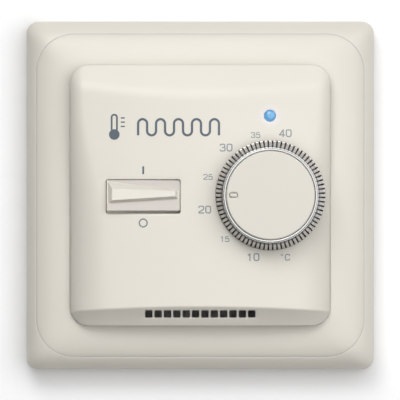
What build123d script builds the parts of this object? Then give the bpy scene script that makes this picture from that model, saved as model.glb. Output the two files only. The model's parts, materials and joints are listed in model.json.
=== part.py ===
from build123d import *
import os
from math import cos, pi, radians, sin, sqrt

# Flush wall thermostat with an on/off rocker and a temperature knob.
# The wall is the plane y = 0, the front looks along -Y and +Z is up.
# "Height" means distance in front of the wall, so a negative height lies in the wall box.

# ---- driving dimensions, in millimetres ----
FRAME_SIDE = 82.0
FRAME_CORNER = 2.9
FRAME_TOP = 12.8
FRAME_EDGE = 5.2
FRAME_WALL = 1.8
GROOVE_SIDE = 77.2
GROOVE_CORNER = 8.9
GROOVE_HEIGHT = 9.4
GROOVE_WIDTH = 0.2
GROOVE_DEPTH = 0.25

COVER_SIDE = 61.4
COVER_CORNER = 4.5
COVER_TOP = 20.5
COVER_WALL = 1.8
COVER_ROLL = 6.0
COVER_GAP = 0.2
BARREL_RADIUS = 180.0
UPPER_BEVEL_LENGTH = 5.6
UPPER_BEVEL_SLOPE = 0.51
LOWER_BEVEL_LENGTH = 5.0
LOWER_BEVEL_SLOPE = 0.84
VENT_COUNT = 12
VENT_PITCH = 2.2
VENT_SIDE = 1.75
VENT_Z = -27.9

CHASSIS_SIDE = 72.0
CHASSIS_CORNER = 3.0
CHASSIS_THICKNESS = 3.0
POT_HOLE_RADIUS = 7.3
LIGHT_HOLE_RADIUS = 2.0
SENSOR_HOLE_RADIUS = 1.5
BOX_SCREW_SPACING = 60.0
SLOT_LENGTH = 8.0
SLOT_WIDTH = 4.2

HOUSING_DEPTH = 22.0
HOUSING_DIAMETER = 57.0
HOUSING_SIDE = 50.0
HOUSING_WALL = 1.6
HOUSING_SEAT = 0.5
HOOK_X = 24.2
HOOK_WIDTH = 6.0
HOOK_THICKNESS = 1.2
HOOK_BARB = 0.6
HOOK_REACH = 1.2
HOOK_CLEARANCE = 0.05
HOOK_RAMP = 20

BOARD_FRONT = -1.0
BOARD_THICKNESS = 1.6
BOARD_BACK = BOARD_FRONT - BOARD_THICKNESS
BOARD_DIAMETER = 53.0
BOARD_SIDE = 46.0
BOARD_SCREW_PLACES = [(-19.5, 12.0), (19.5, 12.0), (-19.0, -12.5), (19.0, -12.5)]
BOARD_POST_RADIUS = 2.4
BOARD_HOLE_RADIUS = 1.2
BOARD_SCREW_DEPTH = 2.8
SCREW_SHANK_RADIUS = 0.9
SCREW_HEAD_RADIUS = 1.9
SCREW_HEAD_HEIGHT = 1.3
CROSS_SLOT_WIDTH = 0.5
PIN_RADIUS = 0.4
PIN_HOLE_RADIUS = 0.5
PIN_END = 1.0

KNOB_X = 16.5
KNOB_BASE = 20.9
KNOB_TOP = 28.0
KNOB_RADIUS = 12.9
KNOB_UPPER_RADIUS = 11.5
GRIP_TOP = 26.9
GRIP_TEETH = 76
GRIP_TOOTH_DEPTH = 0.45
BEZEL_RADIUS = 11.1
BEZEL_TOP = 27.6
CAP_RADIUS = 10.45
CAP_WALL = 1.6
HUB_RADIUS = 4.2
HUB_BOTTOM = 17.2
SHAFT_RADIUS = 3.0
SHAFT_TOP = 25.0
SHAFT_FLAT = 1.5
POINTER_DISTANCE = 8.7
POINTER_LENGTH = 2.15
POINTER_WIDTH = 1.35
POINTER_STROKE = 0.28
RECESS_RADIUS = 11.4
RECESS_FLOOR = 16.6
RECESS_FLOOR_THICKNESS = 1.6
STOP_RADIUS = 7.1
RING_RADIUS = 7.6
RING_STEP = 1.1
RING_THICKNESS = 0.9
RING_TAB_TOP = 19.3
KNOB_HALF_TRAVEL = 105.0

POT_RADIUS = 6.8
POT_BACK = 0.2
POT_HEIGHT = 5.3
POT_BUSH_HEIGHT = 4.0
POT_CAVITY_RADIUS = 5.7
POT_CAVITY_HEIGHT = 3.8
WIPER_RADIUS = 5.0
WIPER_REACH = 4.6
SHAFT_BOTTOM = 1.6
SHAFT_FLANGE = 2.1

COVER_SCREW_DISTANCE = 9.55
COVER_SCREW_TIP = 7.5
COVER_SCREW_HEAD_RADIUS = 1.8
COVER_SCREW_HEAD_HEIGHT = 1.4
COVER_SCREW_HOLE_RADIUS = 1.2
COVER_POST_RADIUS = 1.9
COVER_POST_BORE_BOTTOM = 6.0

LIGHT_X = 16.4
LIGHT_Z = 18.7
LIGHT_RADIUS = 1.4
LIGHT_GUIDE_BOTTOM = 4.4
LIGHT_GUIDE_FLANGE = 16.4
LED_RADIUS = 1.5
LED_RIM_RADIUS = 1.8
LED_HEIGHT = 5.2

SENSOR_Z = -22.0
SENSOR_HEIGHT = 12.6
SENSOR_BEAD_RADIUS = 1.3
SENSOR_LEAD_RADIUS = 0.25
SENSOR_LEAD_SPACING = 1.4

SWITCH_X = -13.4
SWITCH_Z = -0.3
SWITCH_OPENING_LENGTH = 17.5
SWITCH_OPENING_WIDTH = 8.1
SWITCH_COLLAR = 0.7
SWITCH_BODY_LENGTH = 19.0
SWITCH_BODY_WIDTH = 14.0
SWITCH_BODY_TOP = 15.8
SWITCH_WALL = 1.5
ROCKER_PIVOT = 17.2
ROCKER_TILT = 6.0
ROCKER_LENGTH = 17.0
ROCKER_HALF_WIDTH = 3.6
ROCKER_FACE = 3.1
ROCKER_UNDERSIDE = 1.6
UPPER_LEDGE_DEPTH = 2.2
LOWER_LEDGE_DEPTH = 1.6
EAR_RADIUS = 1.3
EAR_INSIDE = 7.0
EAR_OUTSIDE = 8.2
STUB_RADIUS = 0.7
RUNNING_CLEARANCE = 0.05
POLE_SPACING = 7.6
PLUNGER_TUBE_RADIUS = 2.1
PLUNGER_RADIUS = 1.2
PLUNGER_TUBE_DEPTH = 6.0
PLUNGER_TIP = 9.8
SPRING_SEAT = 3.2
SPRING_LENGTH = 3.6
SPRING_RADIUS = 0.85
SPRING_WIRE = 0.18
SPRING_PITCH = 0.7
LEVER_HEIGHT = 6.6
LEVER_TILT = 5.0
LEVER_HALF_LENGTH = 4.4
LEVER_WIDTH = 3.0
LEVER_THICKNESS = 0.6
CONTACT_Z = -3.8

LEAD_RADIUS = 0.3
LEG_SIDE = 0.8
CAPACITOR_PLACE = (0.5, 1.5)
CAPACITOR_RADIUS = 4.0
CAPACITOR_LENGTH = 11.5
VARISTOR_X = 10.5
VARISTOR_RADIUS = 4.2
VARISTOR_THICKNESS = 4.0
VARISTOR_Z = 1.5

TERMINAL_COUNT = 6
TERMINAL_PITCH = 5.0
TERMINAL_BOTTOM = -21.5
TERMINAL_TOP = -9.5
TERMINAL_BACK = -17.6
TERMINAL_SLOT_WIDTH = 3.9
TERMINAL_SLOT_DEPTH = 9.5
DRIVER_HOLE_RADIUS = 1.9
CLAMP_WIDTH = 3.8
CLAMP_HEIGHT = 8.0
CLAMP_LENGTH = 5.0
CLAMP_WALL = 0.5
CLAMP_BAR = 1.3
TERMINAL_SCREW_RADIUS = 1.1
TERMINAL_HEAD_RADIUS = 1.75
TERMINAL_HEAD_HEIGHT = 1.7
WIRE_BAY_FRONT = 4.8
WIRE_BAY_BACK = 16.0

# ---- derived values ----
HALF_COVER = COVER_SIDE / 2
BARREL_CENTRE = COVER_TOP - BARREL_RADIUS
TERMINAL_SPAN = TERMINAL_COUNT * TERMINAL_PITCH


def level(height):
    """The plane parallel to the wall at this height, drawn in X and Z, growing forwards."""
    return Plane.XZ.offset(height)


def barrel_height(x, inset=0.0):
    """Height of the bulged face, or of a surface this far inside it, at a place across the cover."""
    return BARREL_CENTRE + sqrt((BARREL_RADIUS - inset) ** 2 - x**2)


def tilted_plane(x, height, z, degrees):
    """A side-view plane turned about the X axis: its own X runs backwards, its own Y runs up."""
    angle = radians(degrees)
    return Plane(origin=(x, -height, z), x_dir=(0, cos(angle), sin(angle)), z_dir=(1, 0, 0))


def save(piece, name):
    """Label one finished piece and write it as its own STEP file."""
    piece.part.label = name
    export_step(piece.part, f"parts/{name}.step")


def cover_form(inset):
    """The bulged, bevelled block that the cover is made of, shrunk by an inset on every side."""
    half = HALF_COVER - inset
    edge = barrel_height(half, inset)
    top = COVER_TOP - inset
    with BuildPart() as form:
        with BuildSketch(Plane.XY):
            with BuildLine():
                Line((-half, -CHASSIS_THICKNESS), (half, -CHASSIS_THICKNESS))
                Line((half, -CHASSIS_THICKNESS), (half, -edge))
                ThreePointArc((half, -edge), (0, -top), (-half, -edge))
                Line((-half, -edge), (-half, -CHASSIS_THICKNESS))
            make_face()
            fillet(vertices().group_by(Axis.Y)[0], COVER_ROLL - inset)
        extrude(amount=half, both=True)
        with BuildSketch(level(0)):
            RectangleRounded(2 * half, 2 * half, COVER_CORNER - inset)
        extrude(amount=COVER_TOP + 1, mode=Mode.INTERSECT)
        for side, length, slope in (
            (1, UPPER_BEVEL_LENGTH, UPPER_BEVEL_SLOPE),
            (-1, LOWER_BEVEL_LENGTH, LOWER_BEVEL_SLOPE),
        ):
            start = HALF_COVER - length
            drop = inset * sqrt(1 + slope**2)
            over = COVER_CORNER
            with BuildSketch(Plane.YZ):
                with BuildLine():
                    Polyline(
                        (-(COVER_TOP - drop), side * start),
                        (-(COVER_TOP - drop - slope * (length + over)), side * (HALF_COVER + over)),
                        (-(COVER_TOP + over), side * (HALF_COVER + over)),
                        (-(COVER_TOP + over), side * (start - (over + drop) / slope)),
                        close=True,
                    )
                make_face()
            extrude(amount=HALF_COVER, both=True, mode=Mode.SUBTRACT)
    return form.part


def frame_form(sections):
    """A block through rounded squares, each given as its height, side and corner radius."""
    with BuildPart() as form:
        for height, side, corner in sections:
            with BuildSketch(level(height)):
                RectangleRounded(side, side, corner)
        loft(ruled=True)
    return form.part


os.makedirs("parts", exist_ok=True)

# ---- trim frame: domed outside, hollow behind, with a square window for the cover ----
window_side = COVER_SIDE + 2 * COVER_GAP
frame_sections = [
    (0.0, FRAME_SIDE, FRAME_CORNER),
    (FRAME_EDGE, FRAME_SIDE, FRAME_CORNER),
    (FRAME_EDGE + 1.4, FRAME_SIDE - 1.0, FRAME_CORNER + 0.6),
    (GROOVE_HEIGHT, GROOVE_SIDE, GROOVE_CORNER),
    (FRAME_TOP - 1.4, FRAME_SIDE - 9.0, GROOVE_CORNER - 0.5),
    (FRAME_TOP, FRAME_SIDE - 15.0, GROOVE_CORNER - 2.0),
]
frame_hollow = frame_form(
    [
        (0.0, FRAME_SIDE - 2 * FRAME_WALL, 1.6),
        (FRAME_EDGE - 0.6, FRAME_SIDE - 2 * FRAME_WALL, 1.6),
        (FRAME_TOP - FRAME_WALL, FRAME_SIDE - 15.0, GROOVE_CORNER - 3.0),
    ]
)
with BuildPart() as window_wall:
    with BuildSketch(level(CHASSIS_THICKNESS)):
        RectangleRounded(window_side + 3.0, window_side + 3.0, COVER_CORNER + 1.7)
        RectangleRounded(window_side, window_side, COVER_CORNER + COVER_GAP, mode=Mode.SUBTRACT)
    extrude(amount=FRAME_TOP - CHASSIS_THICKNESS - 0.6)
with BuildPart() as trim_frame:
    add(frame_form(frame_sections))
    add(frame_hollow, mode=Mode.SUBTRACT)
    with BuildSketch(level(0)):
        RectangleRounded(window_side, window_side, COVER_CORNER + COVER_GAP)
    extrude(amount=FRAME_TOP + 1, mode=Mode.SUBTRACT)
    add(window_wall.part)
    # fine groove line round the dome
    with BuildSketch(level(GROOVE_HEIGHT - GROOVE_DEPTH)):
        RectangleRounded(GROOVE_SIDE, GROOVE_SIDE, GROOVE_CORNER)
        RectangleRounded(
            GROOVE_SIDE - 2 * GROOVE_WIDTH,
            GROOVE_SIDE - 2 * GROOVE_WIDTH,
            GROOVE_CORNER - GROOVE_WIDTH,
            mode=Mode.SUBTRACT,
        )
    extrude(amount=FRAME_TOP, mode=Mode.SUBTRACT)
save(trim_frame, "trim_frame")

# ---- front cover: a bulged shell with the openings for rocker, knob, light and air ----
with BuildPart() as cover_hollow:
    add(cover_form(COVER_WALL))
    with BuildSketch(level(RECESS_FLOOR - RECESS_FLOOR_THICKNESS)):
        with Locations((KNOB_X, 0)):
            Circle(RECESS_RADIUS + 1.5)
    extrude(amount=COVER_TOP, mode=Mode.SUBTRACT)
with BuildPart() as front_cover:
    add(cover_form(0.0))
    add(cover_hollow.part, mode=Mode.SUBTRACT)
    # recess under the knob, with the holes for its hub and for the cover screw
    with BuildSketch(level(RECESS_FLOOR)):
        with Locations((KNOB_X, 0)):
            Circle(RECESS_RADIUS)
    extrude(amount=COVER_TOP, mode=Mode.SUBTRACT)
    with BuildSketch(level(RECESS_FLOOR)):
        with Locations((KNOB_X, 0)):
            Circle(SHAFT_RADIUS + 0.6)
        with Locations((KNOB_X, -COVER_SCREW_DISTANCE)):
            Circle(COVER_SCREW_HOLE_RADIUS)
        with Locations((LIGHT_X, LIGHT_Z)):
            Circle(LIGHT_RADIUS)
    extrude(amount=COVER_TOP, both=True, mode=Mode.SUBTRACT)
    # rocker opening: a thin collar in front, relieved behind for the swing of the rocker's ends
    with BuildSketch(level(CHASSIS_THICKNESS)):
        with Locations((SWITCH_X, SWITCH_Z)):
            RectangleRounded(SWITCH_OPENING_LENGTH, SWITCH_OPENING_WIDTH, 0.5)
    extrude(amount=COVER_TOP, mode=Mode.SUBTRACT)
    # row of square air vents in the lower bevel
    with BuildSketch(level(CHASSIS_THICKNESS)):
        with Locations((0, VENT_Z)):
            with GridLocations(VENT_PITCH, VENT_PITCH, VENT_COUNT, 1):
                RectangleRounded(VENT_SIDE, VENT_SIDE, 0.3)
    extrude(amount=COVER_TOP, mode=Mode.SUBTRACT)
with BuildPart() as opening_relief:
    add(cover_form(SWITCH_COLLAR))
    with BuildSketch(level(CHASSIS_THICKNESS)):
        with Locations((SWITCH_X, SWITCH_Z)):
            Rectangle(SWITCH_OPENING_LENGTH + 0.6, SWITCH_OPENING_WIDTH + 1.9)
    extrude(amount=COVER_TOP, mode=Mode.INTERSECT)
with front_cover:
    add(opening_relief.part, mode=Mode.SUBTRACT)
save(front_cover, "front_cover")

# ---- chassis: the plate that the box screws hold to the wall ----
with BuildPart() as chassis:
    with BuildSketch(level(0)):
        RectangleRounded(CHASSIS_SIDE, CHASSIS_SIDE, CHASSIS_CORNER)
        with GridLocations(BOX_SCREW_SPACING, 0, 2, 1):
            SlotOverall(SLOT_LENGTH, SLOT_WIDTH, mode=Mode.SUBTRACT)
        with GridLocations(2 * HOOK_X, 0, 2, 1):
            Rectangle(HOOK_THICKNESS + 0.2, HOOK_WIDTH + 0.4, mode=Mode.SUBTRACT)
        with Locations((SWITCH_X, SWITCH_Z)):
            Rectangle(SWITCH_BODY_LENGTH + 0.3, SWITCH_BODY_WIDTH + 0.3, mode=Mode.SUBTRACT)
        with Locations((KNOB_X, 0)):
            Circle(POT_HOLE_RADIUS, mode=Mode.SUBTRACT)
        with Locations((LIGHT_X, LIGHT_Z)):
            Circle(LIGHT_HOLE_RADIUS, mode=Mode.SUBTRACT)
        with Locations((0, SENSOR_Z)):
            Circle(SENSOR_HOLE_RADIUS, mode=Mode.SUBTRACT)
    extrude(amount=CHASSIS_THICKNESS)
    # shallow seat for the rim of the rear housing
    with BuildSketch(level(0)):
        Circle(HOUSING_DIAMETER / 2 + 0.1)
        Rectangle(HOUSING_SIDE + 0.2, HOUSING_SIDE + 0.2, mode=Mode.INTERSECT)
    extrude(amount=HOUSING_SEAT, mode=Mode.SUBTRACT)
    # post that takes the cover screw
    with BuildSketch(level(CHASSIS_THICKNESS)):
        with Locations((KNOB_X, -COVER_SCREW_DISTANCE)):
            Circle(COVER_POST_RADIUS)
    extrude(amount=RECESS_FLOOR - RECESS_FLOOR_THICKNESS - CHASSIS_THICKNESS)
    with BuildSketch(level(COVER_POST_BORE_BOTTOM)):
        with Locations((KNOB_X, -COVER_SCREW_DISTANCE)):
            Circle(SCREW_SHANK_RADIUS)
    extrude(amount=RECESS_FLOOR, mode=Mode.SUBTRACT)
    # short posts on the back that the board is screwed to
    with BuildSketch(level(BOARD_FRONT)):
        with Locations(BOARD_SCREW_PLACES):
            Circle(BOARD_POST_RADIUS)
    extrude(amount=HOUSING_SEAT - BOARD_FRONT)
    with BuildSketch(level(BOARD_FRONT)):
        with Locations(BOARD_SCREW_PLACES):
            Circle(SCREW_SHANK_RADIUS)
    extrude(amount=BOARD_SCREW_DEPTH + 0.2, mode=Mode.SUBTRACT)
save(chassis, "chassis")

# ---- rear housing: a cup that fits a round wall box, with hooks that snap into the chassis ----
with BuildPart() as rear_housing:
    with BuildSketch(level(-HOUSING_DEPTH)):
        Circle(HOUSING_DIAMETER / 2)
        Rectangle(HOUSING_SIDE, HOUSING_SIDE, mode=Mode.INTERSECT)
    extrude(amount=HOUSING_DEPTH + HOUSING_SEAT)
    with BuildSketch(level(-HOUSING_DEPTH + HOUSING_WALL)):
        Circle(HOUSING_DIAMETER / 2 - HOUSING_WALL)
        Rectangle(HOUSING_SIDE - 2 * HOUSING_WALL, HOUSING_SIDE - 2 * HOUSING_WALL, mode=Mode.INTERSECT)
    extrude(amount=HOUSING_DEPTH + HOUSING_SEAT, mode=Mode.SUBTRACT)
    # wire bay through the lower wall, and driver holes over the terminal screws
    with BuildSketch(Plane.XY.offset(TERMINAL_BOTTOM)):
        with Locations((0, (WIRE_BAY_FRONT + WIRE_BAY_BACK) / 2)):
            Rectangle(TERMINAL_SPAN + 0.4, WIRE_BAY_BACK - WIRE_BAY_FRONT)
    extrude(amount=-HOUSING_SIDE, mode=Mode.SUBTRACT)
    with BuildSketch(level(-HOUSING_DEPTH)):
        with Locations((0, (TERMINAL_BOTTOM + TERMINAL_TOP) / 2)):
            with GridLocations(TERMINAL_PITCH, TERMINAL_PITCH, TERMINAL_COUNT, 1):
                Circle(DRIVER_HOLE_RADIUS)
    extrude(amount=HOUSING_WALL, mode=Mode.SUBTRACT)
    # snap hooks
    with BuildSketch(level(HOUSING_SEAT)):
        with GridLocations(2 * HOOK_X, 0, 2, 1):
            Rectangle(HOOK_THICKNESS, HOOK_WIDTH)
    extrude(amount=CHASSIS_THICKNESS + HOOK_REACH - HOUSING_SEAT)
    with BuildSketch(level(CHASSIS_THICKNESS + HOOK_CLEARANCE)):
        with GridLocations(2 * HOOK_X + HOOK_BARB, 0, 2, 1):
            Rectangle(HOOK_THICKNESS + HOOK_BARB, HOOK_WIDTH)
    extrude(amount=HOOK_REACH - HOOK_CLEARANCE, taper=HOOK_RAMP)
save(rear_housing, "rear_housing")

# ---- circuit board and the parts on its back ----
pot_pin_places = [(KNOB_X - 2.5, -6.2), (KNOB_X, -6.2), (KNOB_X + 2.5, -6.2)]
switch_pin_places = [
    (SWITCH_X + side * POLE_SPACING / 2, SWITCH_Z + z) for side in (-1, 1) for z in (CONTACT_Z, 0.0)
]
with BuildPart() as main_board:
    with BuildSketch(level(BOARD_BACK)):
        Circle(BOARD_DIAMETER / 2)
        Rectangle(BOARD_SIDE, BOARD_SIDE, mode=Mode.INTERSECT)
        with Locations(BOARD_SCREW_PLACES):
            Circle(BOARD_HOLE_RADIUS, mode=Mode.SUBTRACT)
        with Locations(pot_pin_places):
            Circle(PIN_HOLE_RADIUS, mode=Mode.SUBTRACT)
        with Locations(switch_pin_places):
            Rectangle(1.8, 1.0, mode=Mode.SUBTRACT)
    extrude(amount=BOARD_THICKNESS)
save(main_board, "main_board")

with BuildPart() as board_screws:
    with BuildSketch(level(BOARD_BACK - SCREW_HEAD_HEIGHT)):
        with Locations(BOARD_SCREW_PLACES):
            Circle(SCREW_HEAD_RADIUS)
    extrude(amount=SCREW_HEAD_HEIGHT)
    head_edges = board_screws.edges().filter_by(GeomType.CIRCLE).group_by(Axis.Y)[-1]
    fillet(head_edges, 0.5)
    with BuildSketch(level(BOARD_BACK)):
        with Locations(BOARD_SCREW_PLACES):
            Circle(SCREW_SHANK_RADIUS)
    extrude(amount=BOARD_THICKNESS + BOARD_SCREW_DEPTH)
    with BuildSketch(level(BOARD_BACK - SCREW_HEAD_HEIGHT)):
        with Locations(BOARD_SCREW_PLACES):
            Rectangle(2.2, CROSS_SLOT_WIDTH)
            Rectangle(CROSS_SLOT_WIDTH, 2.2)
    extrude(amount=0.7, mode=Mode.SUBTRACT)
save(board_screws, "board_screws")


def component_block(x, z, length, width, depth, corner):
    """A moulded component that sits on the back of the board, with rounded edges."""
    with BuildPart() as block:
        with BuildSketch(level(BOARD_BACK)):
            with Locations((x, z)):
                RectangleRounded(length, width, corner)
        extrude(amount=-depth)
        fillet(block.faces().sort_by(Axis.Y)[-1].edges(), corner * 0.8)
    return block


save(component_block(x=0.0, z=14.2, length=29.0, width=12.7, depth=15.7, corner=0.6), "relay")
save(component_block(x=-15.0, z=4.2, length=13.0, width=6.0, depth=12.0, corner=0.8), "film_capacitor")
save(component_block(x=17.5, z=3.2, length=4.2, width=8.4, depth=8.0, corner=0.6), "fuse")
save(component_block(x=SWITCH_X, z=-5.0, length=5.0, width=4.0, depth=1.7, corner=0.25), "control_chip")

with BuildPart() as electrolytic_capacitor:
    with BuildSketch(level(BOARD_BACK)):
        with Locations(CAPACITOR_PLACE):
            Circle(CAPACITOR_RADIUS)
    extrude(amount=-CAPACITOR_LENGTH)
    fillet(electrolytic_capacitor.edges().filter_by(GeomType.CIRCLE), 0.5)
    with BuildSketch(level(BOARD_BACK - CAPACITOR_LENGTH)):
        with Locations(CAPACITOR_PLACE):
            Rectangle(5.0, 0.3)
            Rectangle(0.3, 5.0)
    extrude(amount=0.3, mode=Mode.SUBTRACT)
save(electrolytic_capacitor, "electrolytic_capacitor")

with BuildPart() as varistor:
    with BuildSketch(Plane.XY.offset(VARISTOR_Z - VARISTOR_THICKNESS / 2)):
        with Locations((VARISTOR_X, VARISTOR_RADIUS + 1.4 - BOARD_BACK)):
            Circle(VARISTOR_RADIUS)
    extrude(amount=VARISTOR_THICKNESS)
    fillet(varistor.edges().filter_by(GeomType.CIRCLE), 1.2)
    with BuildSketch(level(BOARD_BACK)):
        with Locations((VARISTOR_X, VARISTOR_Z)):
            with GridLocations(5.0, 0, 2, 1):
                Circle(LEAD_RADIUS + 0.05)
    extrude(amount=-5.0)
save(varistor, "varistor")


def axial_parts(places, length, radius):
    """Small parts lying along X on the back of the board, each on two bent leads."""
    rise = BOARD_BACK - radius - 0.3
    reach = length + 2.4
    with BuildPart() as parts:
        for x, z in places:
            with BuildSketch(Plane.YZ.offset(x - length / 2)):
                with Locations((-rise, z)):
                    Circle(radius)
            extrude(amount=length)
        fillet(parts.edges().filter_by(GeomType.CIRCLE), radius * 0.35)
        for x, z in places:
            with BuildSketch(Plane.YZ.offset(x - reach / 2)):
                with Locations((-rise, z)):
                    Circle(LEAD_RADIUS)
            extrude(amount=reach)
            with BuildSketch(level(BOARD_BACK)):
                with Locations((x, z)):
                    with GridLocations(reach, LEG_SIDE, 2, 1):
                        Rectangle(LEG_SIDE, LEG_SIDE)
            extrude(amount=-(radius + 0.3 + LEG_SIDE))
    return parts


save(axial_parts([(-1.0, -5.2), (6.5, -5.2), (-1.0, -7.8), (6.5, -7.8)], 3.6, 0.9), "rectifier_diodes")
save(axial_parts([(12.5, -3.4)], 5.4, 1.3), "power_resistor")

# ---- terminal block with its cage clamps and screws ----
terminal_mid = (TERMINAL_BOTTOM + TERMINAL_TOP) / 2
clamp_front = -BOARD_BACK + 2.6
clamp_back = clamp_front + CLAMP_HEIGHT
with BuildPart() as terminal_block:
    with BuildSketch(level(BOARD_BACK)):
        with Locations((0, terminal_mid)):
            Rectangle(TERMINAL_SPAN, TERMINAL_TOP - TERMINAL_BOTTOM)
    extrude(amount=TERMINAL_BACK - BOARD_BACK)
    chamfer(terminal_block.faces().sort_by(Axis.Y)[-1].edges(), 0.5)
    with BuildSketch(Plane.XY.offset(TERMINAL_BOTTOM)):
        with Locations((0, (clamp_front + clamp_back) / 2)):
            with GridLocations(TERMINAL_PITCH, TERMINAL_PITCH, TERMINAL_COUNT, 1):
                Rectangle(TERMINAL_SLOT_WIDTH, CLAMP_HEIGHT)
    extrude(amount=TERMINAL_SLOT_DEPTH, mode=Mode.SUBTRACT)
    with BuildSketch(level(TERMINAL_BACK)):
        with Locations((0, terminal_mid)):
            with GridLocations(TERMINAL_PITCH, TERMINAL_PITCH, TERMINAL_COUNT, 1):
                Circle(DRIVER_HOLE_RADIUS)
    extrude(amount=-TERMINAL_BACK - clamp_back, mode=Mode.SUBTRACT)
save(terminal_block, "terminal_block")

with BuildPart() as terminal_clamps:
    with BuildSketch(Plane.XY.offset(terminal_mid - CLAMP_LENGTH / 2)):
        with Locations((0, (clamp_front + clamp_back) / 2)):
            with GridLocations(TERMINAL_PITCH, TERMINAL_PITCH, TERMINAL_COUNT, 1):
                RectangleRounded(CLAMP_WIDTH, CLAMP_HEIGHT, 0.4)
                RectangleRounded(
                    CLAMP_WIDTH - 2 * CLAMP_WALL,
                    CLAMP_HEIGHT - 2 * CLAMP_BAR,
                    0.3,
                    mode=Mode.SUBTRACT,
                )
    extrude(amount=CLAMP_LENGTH)
    with BuildSketch(level(-clamp_back)):
        with Locations((0, terminal_mid)):
            with GridLocations(TERMINAL_PITCH, TERMINAL_PITCH, TERMINAL_COUNT, 1):
                Circle(TERMINAL_SCREW_RADIUS)
    extrude(amount=2.0, mode=Mode.SUBTRACT)
save(terminal_clamps, "terminal_clamps")

with BuildPart() as terminal_screws:
    with BuildSketch(level(-clamp_back - TERMINAL_HEAD_HEIGHT)):
        with Locations((0, terminal_mid)):
            with GridLocations(TERMINAL_PITCH, TERMINAL_PITCH, TERMINAL_COUNT, 1):
                Circle(TERMINAL_HEAD_RADIUS)
    extrude(amount=TERMINAL_HEAD_HEIGHT)
    with BuildSketch(level(-clamp_back)):
        with Locations((0, terminal_mid)):
            with GridLocations(TERMINAL_PITCH, TERMINAL_PITCH, TERMINAL_COUNT, 1):
                Circle(TERMINAL_SCREW_RADIUS)
    extrude(amount=3.4)
    with BuildSketch(level(-clamp_back - TERMINAL_HEAD_HEIGHT)):
        with Locations((0, terminal_mid)):
            with GridLocations(TERMINAL_PITCH, TERMINAL_PITCH, TERMINAL_COUNT, 1):
                Rectangle(3.0, 0.6)
    extrude(amount=0.9, mode=Mode.SUBTRACT)
save(terminal_screws, "terminal_screws")

# ---- indicator light ----
with BuildPart() as indicator_led:
    with BuildSketch(level(BOARD_FRONT)):
        with Locations((LIGHT_X, LIGHT_Z)):
            Circle(LED_RIM_RADIUS)
    extrude(amount=0.8)
    with BuildSketch(level(BOARD_FRONT)):
        with Locations((LIGHT_X, LIGHT_Z)):
            Circle(LED_RADIUS)
    extrude(amount=LED_HEIGHT)
    fillet(indicator_led.faces().sort_by(Axis.Y)[0].edges(), 1.3)
save(indicator_led, "indicator_led")

light_top = barrel_height(LIGHT_X) + 0.3
with BuildPart() as light_guide:
    with BuildSketch(level(LIGHT_GUIDE_BOTTOM)):
        with Locations((LIGHT_X, LIGHT_Z)):
            Circle(LIGHT_RADIUS)
    extrude(amount=light_top - LIGHT_GUIDE_BOTTOM)
    fillet(light_guide.faces().sort_by(Axis.Y)[0].edges(), 0.45)
    with BuildSketch(level(LIGHT_GUIDE_FLANGE)):
        with Locations((LIGHT_X, LIGHT_Z)):
            Circle(LIGHT_HOLE_RADIUS)
    extrude(amount=1.2)
save(light_guide, "light_guide")

# ---- air sensor: a bead on two straight leads behind the vents ----
with BuildPart() as air_sensor:
    with BuildSketch(level(BOARD_FRONT)):
        with Locations((0, SENSOR_Z)):
            with GridLocations(SENSOR_LEAD_SPACING, 0, 2, 1):
                Circle(SENSOR_LEAD_RADIUS)
    extrude(amount=SENSOR_HEIGHT + 0.9)
    with Locations((0, -SENSOR_HEIGHT, SENSOR_Z)):
        Sphere(SENSOR_BEAD_RADIUS)
save(air_sensor, "air_sensor")

# ---- potentiometer ----
with BuildPart() as potentiometer_base:
    with BuildSketch(level(BOARD_FRONT)):
        with Locations((KNOB_X, 0)):
            Circle(POT_RADIUS)
        with Locations(pot_pin_places):
            Circle(PIN_RADIUS, mode=Mode.SUBTRACT)
    extrude(amount=POT_BACK - BOARD_FRONT)
save(potentiometer_base, "potentiometer_base")

with BuildPart() as potentiometer_pins:
    with BuildSketch(level(BOARD_BACK - PIN_END)):
        with Locations(pot_pin_places):
            Circle(PIN_RADIUS)
    extrude(amount=POT_BACK - BOARD_BACK + PIN_END)
save(potentiometer_pins, "potentiometer_pins")

with BuildPart() as potentiometer_track:
    with BuildSketch(level(POT_BACK)):
        with Locations((KNOB_X, 0)):
            Circle(5.5)
            Circle(3.6, mode=Mode.SUBTRACT)
            with Locations((0, -4.5)):
                Rectangle(1.2, 3.0, mode=Mode.SUBTRACT)
    extrude(amount=0.25)
save(potentiometer_track, "potentiometer_track")

with BuildPart() as potentiometer_body:
    with BuildSketch(level(POT_BACK)):
        with Locations((KNOB_X, 0)):
            Circle(POT_RADIUS)
    extrude(amount=POT_HEIGHT)
    with BuildSketch(level(POT_BACK + POT_HEIGHT)):
        with Locations((KNOB_X, 0)):
            Circle(HUB_RADIUS)
    extrude(amount=POT_BUSH_HEIGHT)
    with BuildSketch(level(POT_BACK)):
        with Locations((KNOB_X, 0)):
            Circle(POT_CAVITY_RADIUS)
    extrude(amount=POT_CAVITY_HEIGHT, mode=Mode.SUBTRACT)
    with BuildSketch(level(POT_BACK + POT_CAVITY_HEIGHT)):
        with Locations((KNOB_X, 0)):
            Circle(SHAFT_RADIUS + RUNNING_CLEARANCE)
    extrude(amount=POT_HEIGHT + POT_BUSH_HEIGHT, mode=Mode.SUBTRACT)
    with BuildSketch(level(POT_BACK)):
        with Locations(pot_pin_places):
            Circle(PIN_RADIUS + RUNNING_CLEARANCE)
    extrude(amount=0.4, mode=Mode.SUBTRACT)
save(potentiometer_body, "potentiometer_body")

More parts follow.
